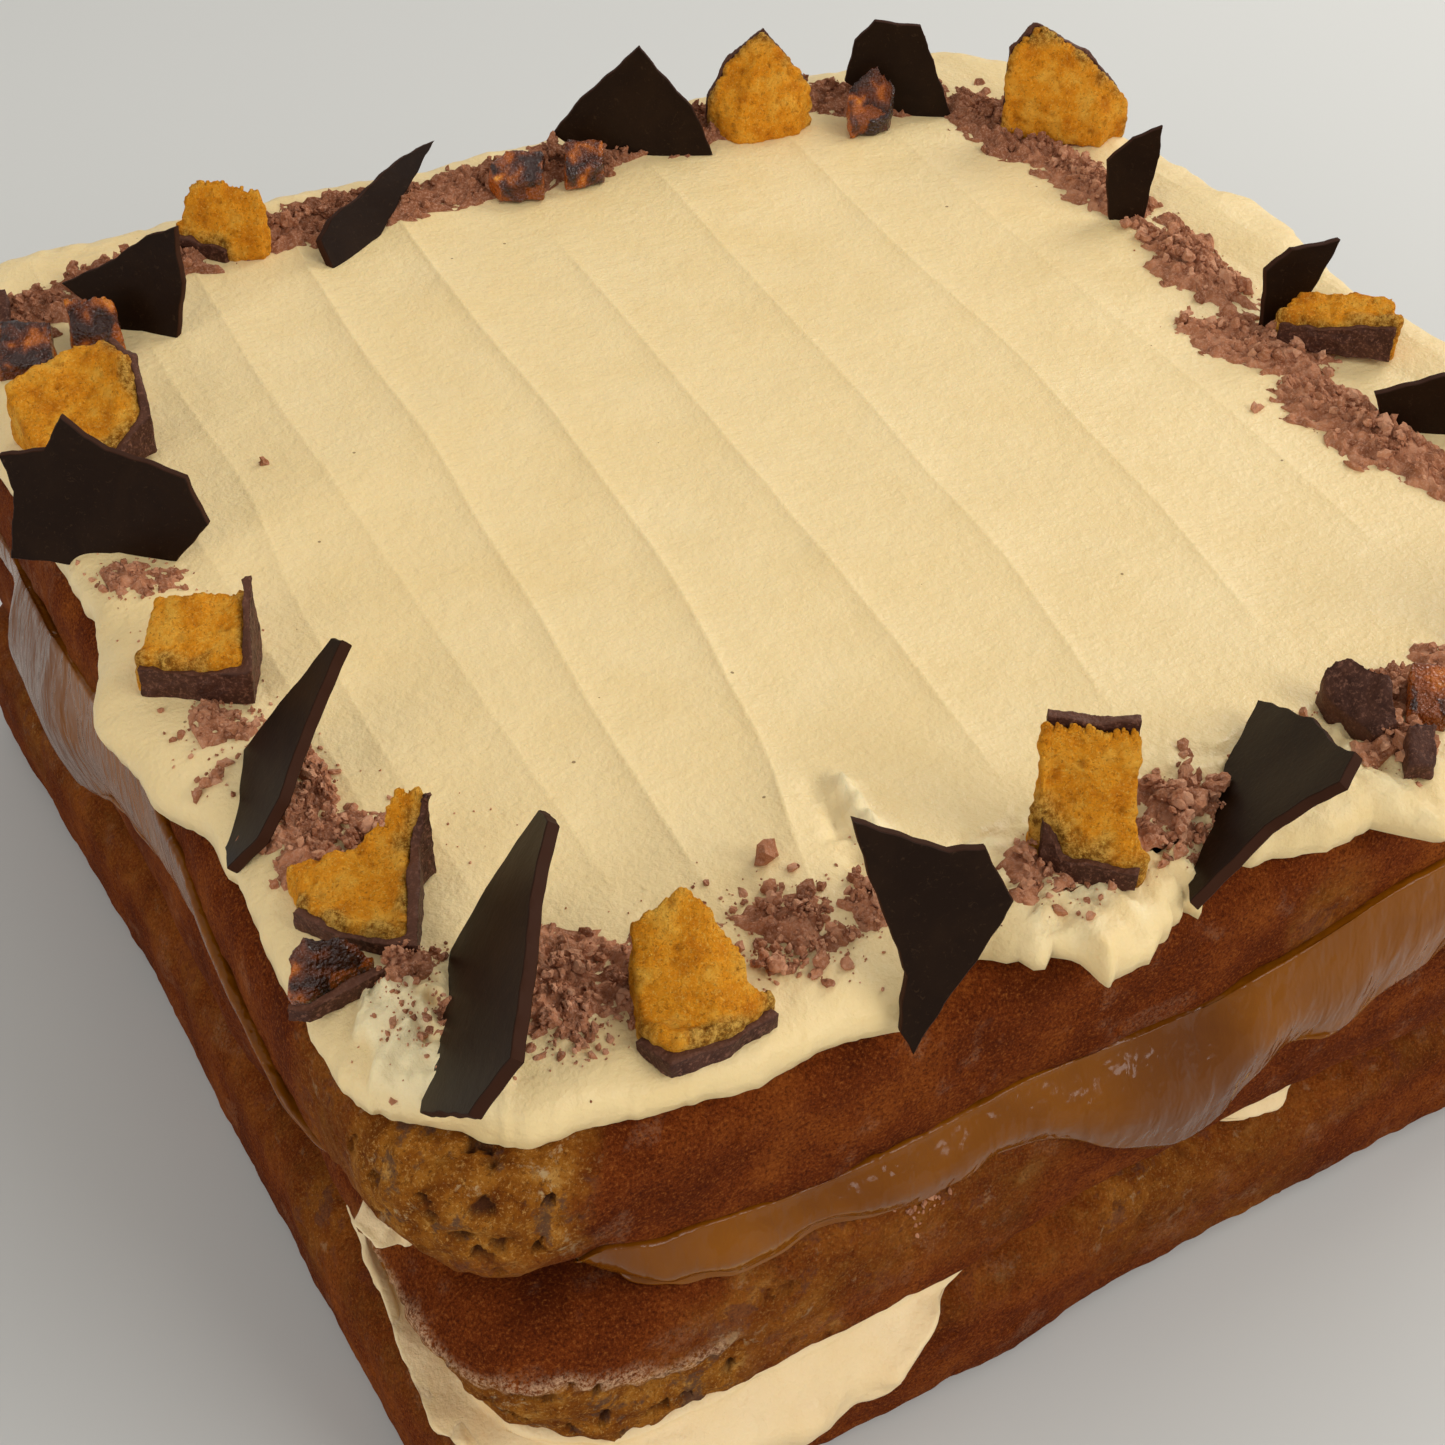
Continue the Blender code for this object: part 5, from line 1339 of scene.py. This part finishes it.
def build_coat(name, material, seed):
    """Chocolate on some sides of a topping piece: uneven, with painted light where it faces up."""
    points, faces, normals, spots = remeshed(name, 0.32, 3, seed)
    height = noise(spots, 4.5, 91) * 0.22 + noise(spots, 1.5, 92) * 0.16 + noise(spots, 0.8, 93) * 0.10 - 0.25
    moved = points + normals * height[:, None]
    level = spots * (1, 1, 0)
    lift = np.clip((points[:, 2] - FROSTING_TOP) / 3.0, 0, 1)
    moved[:, 2] += lift * (noise(level, 2.2, 94) * 0.5 + noise(level, 5.0, 97) * 0.4 - 0.2)
    # Painted light: the coat is lighter where it faces up.
    values = {"broken": np.clip(normals[:, 2] * 1.4 - 0.3, 0, 1)}
    return make_piece(name + "_shell", moved, faces, material, [name], values)


def build_toffee(name, material, seed):
    """A piece of toffee with uneven facets, painted light on its faces that look left, and some random facets
    marked as well.
    """
    points, faces, normals, spots = remeshed(name, 0.36, 3, seed)
    facets, mark = cells(spots, 3.6, 95)
    height = (0.5 - facets) * 0.9 + noise(spots, 1.5, 96) * 0.2
    moved = points + normals * height[:, None]
    # Painted light on the faces that look left and not up; a few random facets are marked too.
    lit_left = np.clip(-normals[:, 0] * 1.6 - 0.5, 0, 1) * np.clip(1.2 - normals[:, 2] * 1.6, 0, 1)
    values = {"broken": np.maximum(lit_left, 0.5 * (mark > 0.85))}
    return make_piece(name + "_chip", moved, faces, material, [name], values)


def build_toppings():
    rng = np.random.default_rng(3)
    plain = chocolate_looks()
    comb = comb_looks()
    coat = coat_looks()
    toffee = toffee_looks()
    names = sorted(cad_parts)
    coats = {name: surface_of(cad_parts[name]) for name in names if name.endswith("_coat")}
    for seed, name in enumerate(names):
        if name.startswith("shard_"):
            build_shard(name, plain, rng)
        elif name.endswith("_coat"):
            build_coat(name, coat, seed)
        elif name.startswith("honeycomb_"):
            build_comb(name, coats.get(name + "_coat"), comb, seed)
        elif name in DARK_TOFFEE:
            build_toffee(name, coat, seed)
        elif name.startswith("toffee_"):
            build_toffee(name, toffee, seed)


# ---- set ---------------------------------------------------------------------------------------
FLOOR_HALF = 4.0            # half width of the floor, in metres
FLOOR_LEVEL = -0.0005
# Lights in metres and watts: name, place, width and height, power, colour.
LIGHTS = (
    ("key", (0.95, 0.25, 0.75), (0.6, 0.6), 6.5, (1.0, 0.98, 0.94)),
    ("front", (0.55, -1.05, 0.85), (0.8, 0.6), 8.0, (1.0, 0.98, 0.95)),
    ("fill", (-1.15, -0.55, 0.60), (0.8, 0.8), 5.0, (1.0, 0.98, 0.96)),
)
LIGHT_TARGET = (0.0, 0.0, 0.05)
SKY_COLOUR = (0.98, 0.97, 0.94, 1.0)
SKY_POWER = 0.52
# The photograph's camera: degrees round the cake, above its top and about its own axis, what it
# looks at and from how far, and its focal length as a share of the picture's width.
CAMERA_TURNS = (-29.499, 39.967, 0.674)
CAMERA_TARGET = (-43.355, -55.315, 83.49)
CAMERA_DISTANCE = 316.94
CAMERA_FOCAL = 2257.046 / 1445
SENSOR_WIDTH = 36.0


def build_floor():
    bm = bmesh.new()
    bmesh.ops.create_grid(bm, x_segments=1, y_segments=1, size=FLOOR_HALF)
    mesh = bpy.data.meshes.new("floor")
    bm.to_mesh(mesh)
    bm.free()
    looks = Looks("floor_grey", 0.7, Specular_IOR_Level=0.2)
    looks.colour((0.62, 0.62, 0.60))
    mesh.materials.append(looks.material)
    floor = bpy.data.objects.new("floor", mesh)
    floor.location.z = FLOOR_LEVEL
    bpy.context.scene.collection.objects.link(floor)


def area_light(name, place, size, power, colour):
    light = bpy.data.lights.new(name, "AREA")
    light.shape = "RECTANGLE"
    light.size, light.size_y = size
    light.energy = power
    light.color = colour
    item = bpy.data.objects.new(name, light)
    item.location = place
    item.rotation_mode = "QUATERNION"
    item.rotation_quaternion = (Vector(LIGHT_TARGET) - Vector(place)).to_track_quat("-Z", "Y")
    bpy.context.scene.collection.objects.link(item)


def build_lights():
    world = bpy.data.worlds.new("studio")
    world.use_nodes = True
    background = world.node_tree.nodes["Background"]
    background.inputs["Color"].default_value = SKY_COLOUR
    background.inputs["Strength"].default_value = SKY_POWER
    bpy.context.scene.world = world
    for light in LIGHTS:
        area_light(*light)


def build_camera():
    """Camera at the photograph's place: turned about its own axis as little as the photo is."""
    azimuth, elevation, roll = (math.radians(turn) for turn in CAMERA_TURNS)
    back = Vector((math.sin(azimuth) * math.cos(elevation), -math.cos(azimuth) * math.cos(elevation),
                   math.sin(elevation)))
    right = (-back).cross(Vector((0, 0, 1))).normalized()
    up = right.cross(-back)
    camera = bpy.data.objects.new("camera", bpy.data.cameras.new("camera"))
    spun_right = right * math.cos(roll) + up * math.sin(roll)
    spun_up = up * math.cos(roll) - right * math.sin(roll)
    turn = Matrix((spun_right, spun_up, back)).transposed()
    place = Vector(CAMERA_TARGET) * MM + back * CAMERA_DISTANCE * MM
    camera.matrix_world = Matrix.Translation(place) @ turn.to_4x4()
    camera.data.sensor_width = SENSOR_WIDTH
    camera.data.lens = CAMERA_FOCAL * SENSOR_WIDTH
    camera.data.clip_start = 0.01
    bpy.context.scene.collection.objects.link(camera)
    bpy.context.scene.camera = camera


def main():
    bpy.context.scene.view_settings.view_transform = "Standard"
    build_camera()
    build_floor()
    build_lights()
    crust = sponge_looks()
    sponges = [build_sponge(layer, crust) for layer in (SPONGE_BOTTOM, SPONGE_MIDDLE, SPONGE_TOP)]
    cream = cream_looks("filling_cream", (0.86, 0.66, 0.38), (0.80, 0.58, 0.30))
    build_caramel(caramel_looks())
    build_lower_cream(cream)
    build_upper_cream(cream)
    icing = cream_looks("cream_cheese_frosting", (0.84, 0.65, 0.34), (0.80, 0.60, 0.29))
    frosting = build_frosting(icing)
    crumbs = crumb_looks()
    bed = build_crumb_beds(frosting, crumbs)
    build_crumbs([frosting, bed], sponges[1], crumbs)
    build_toppings()


main()
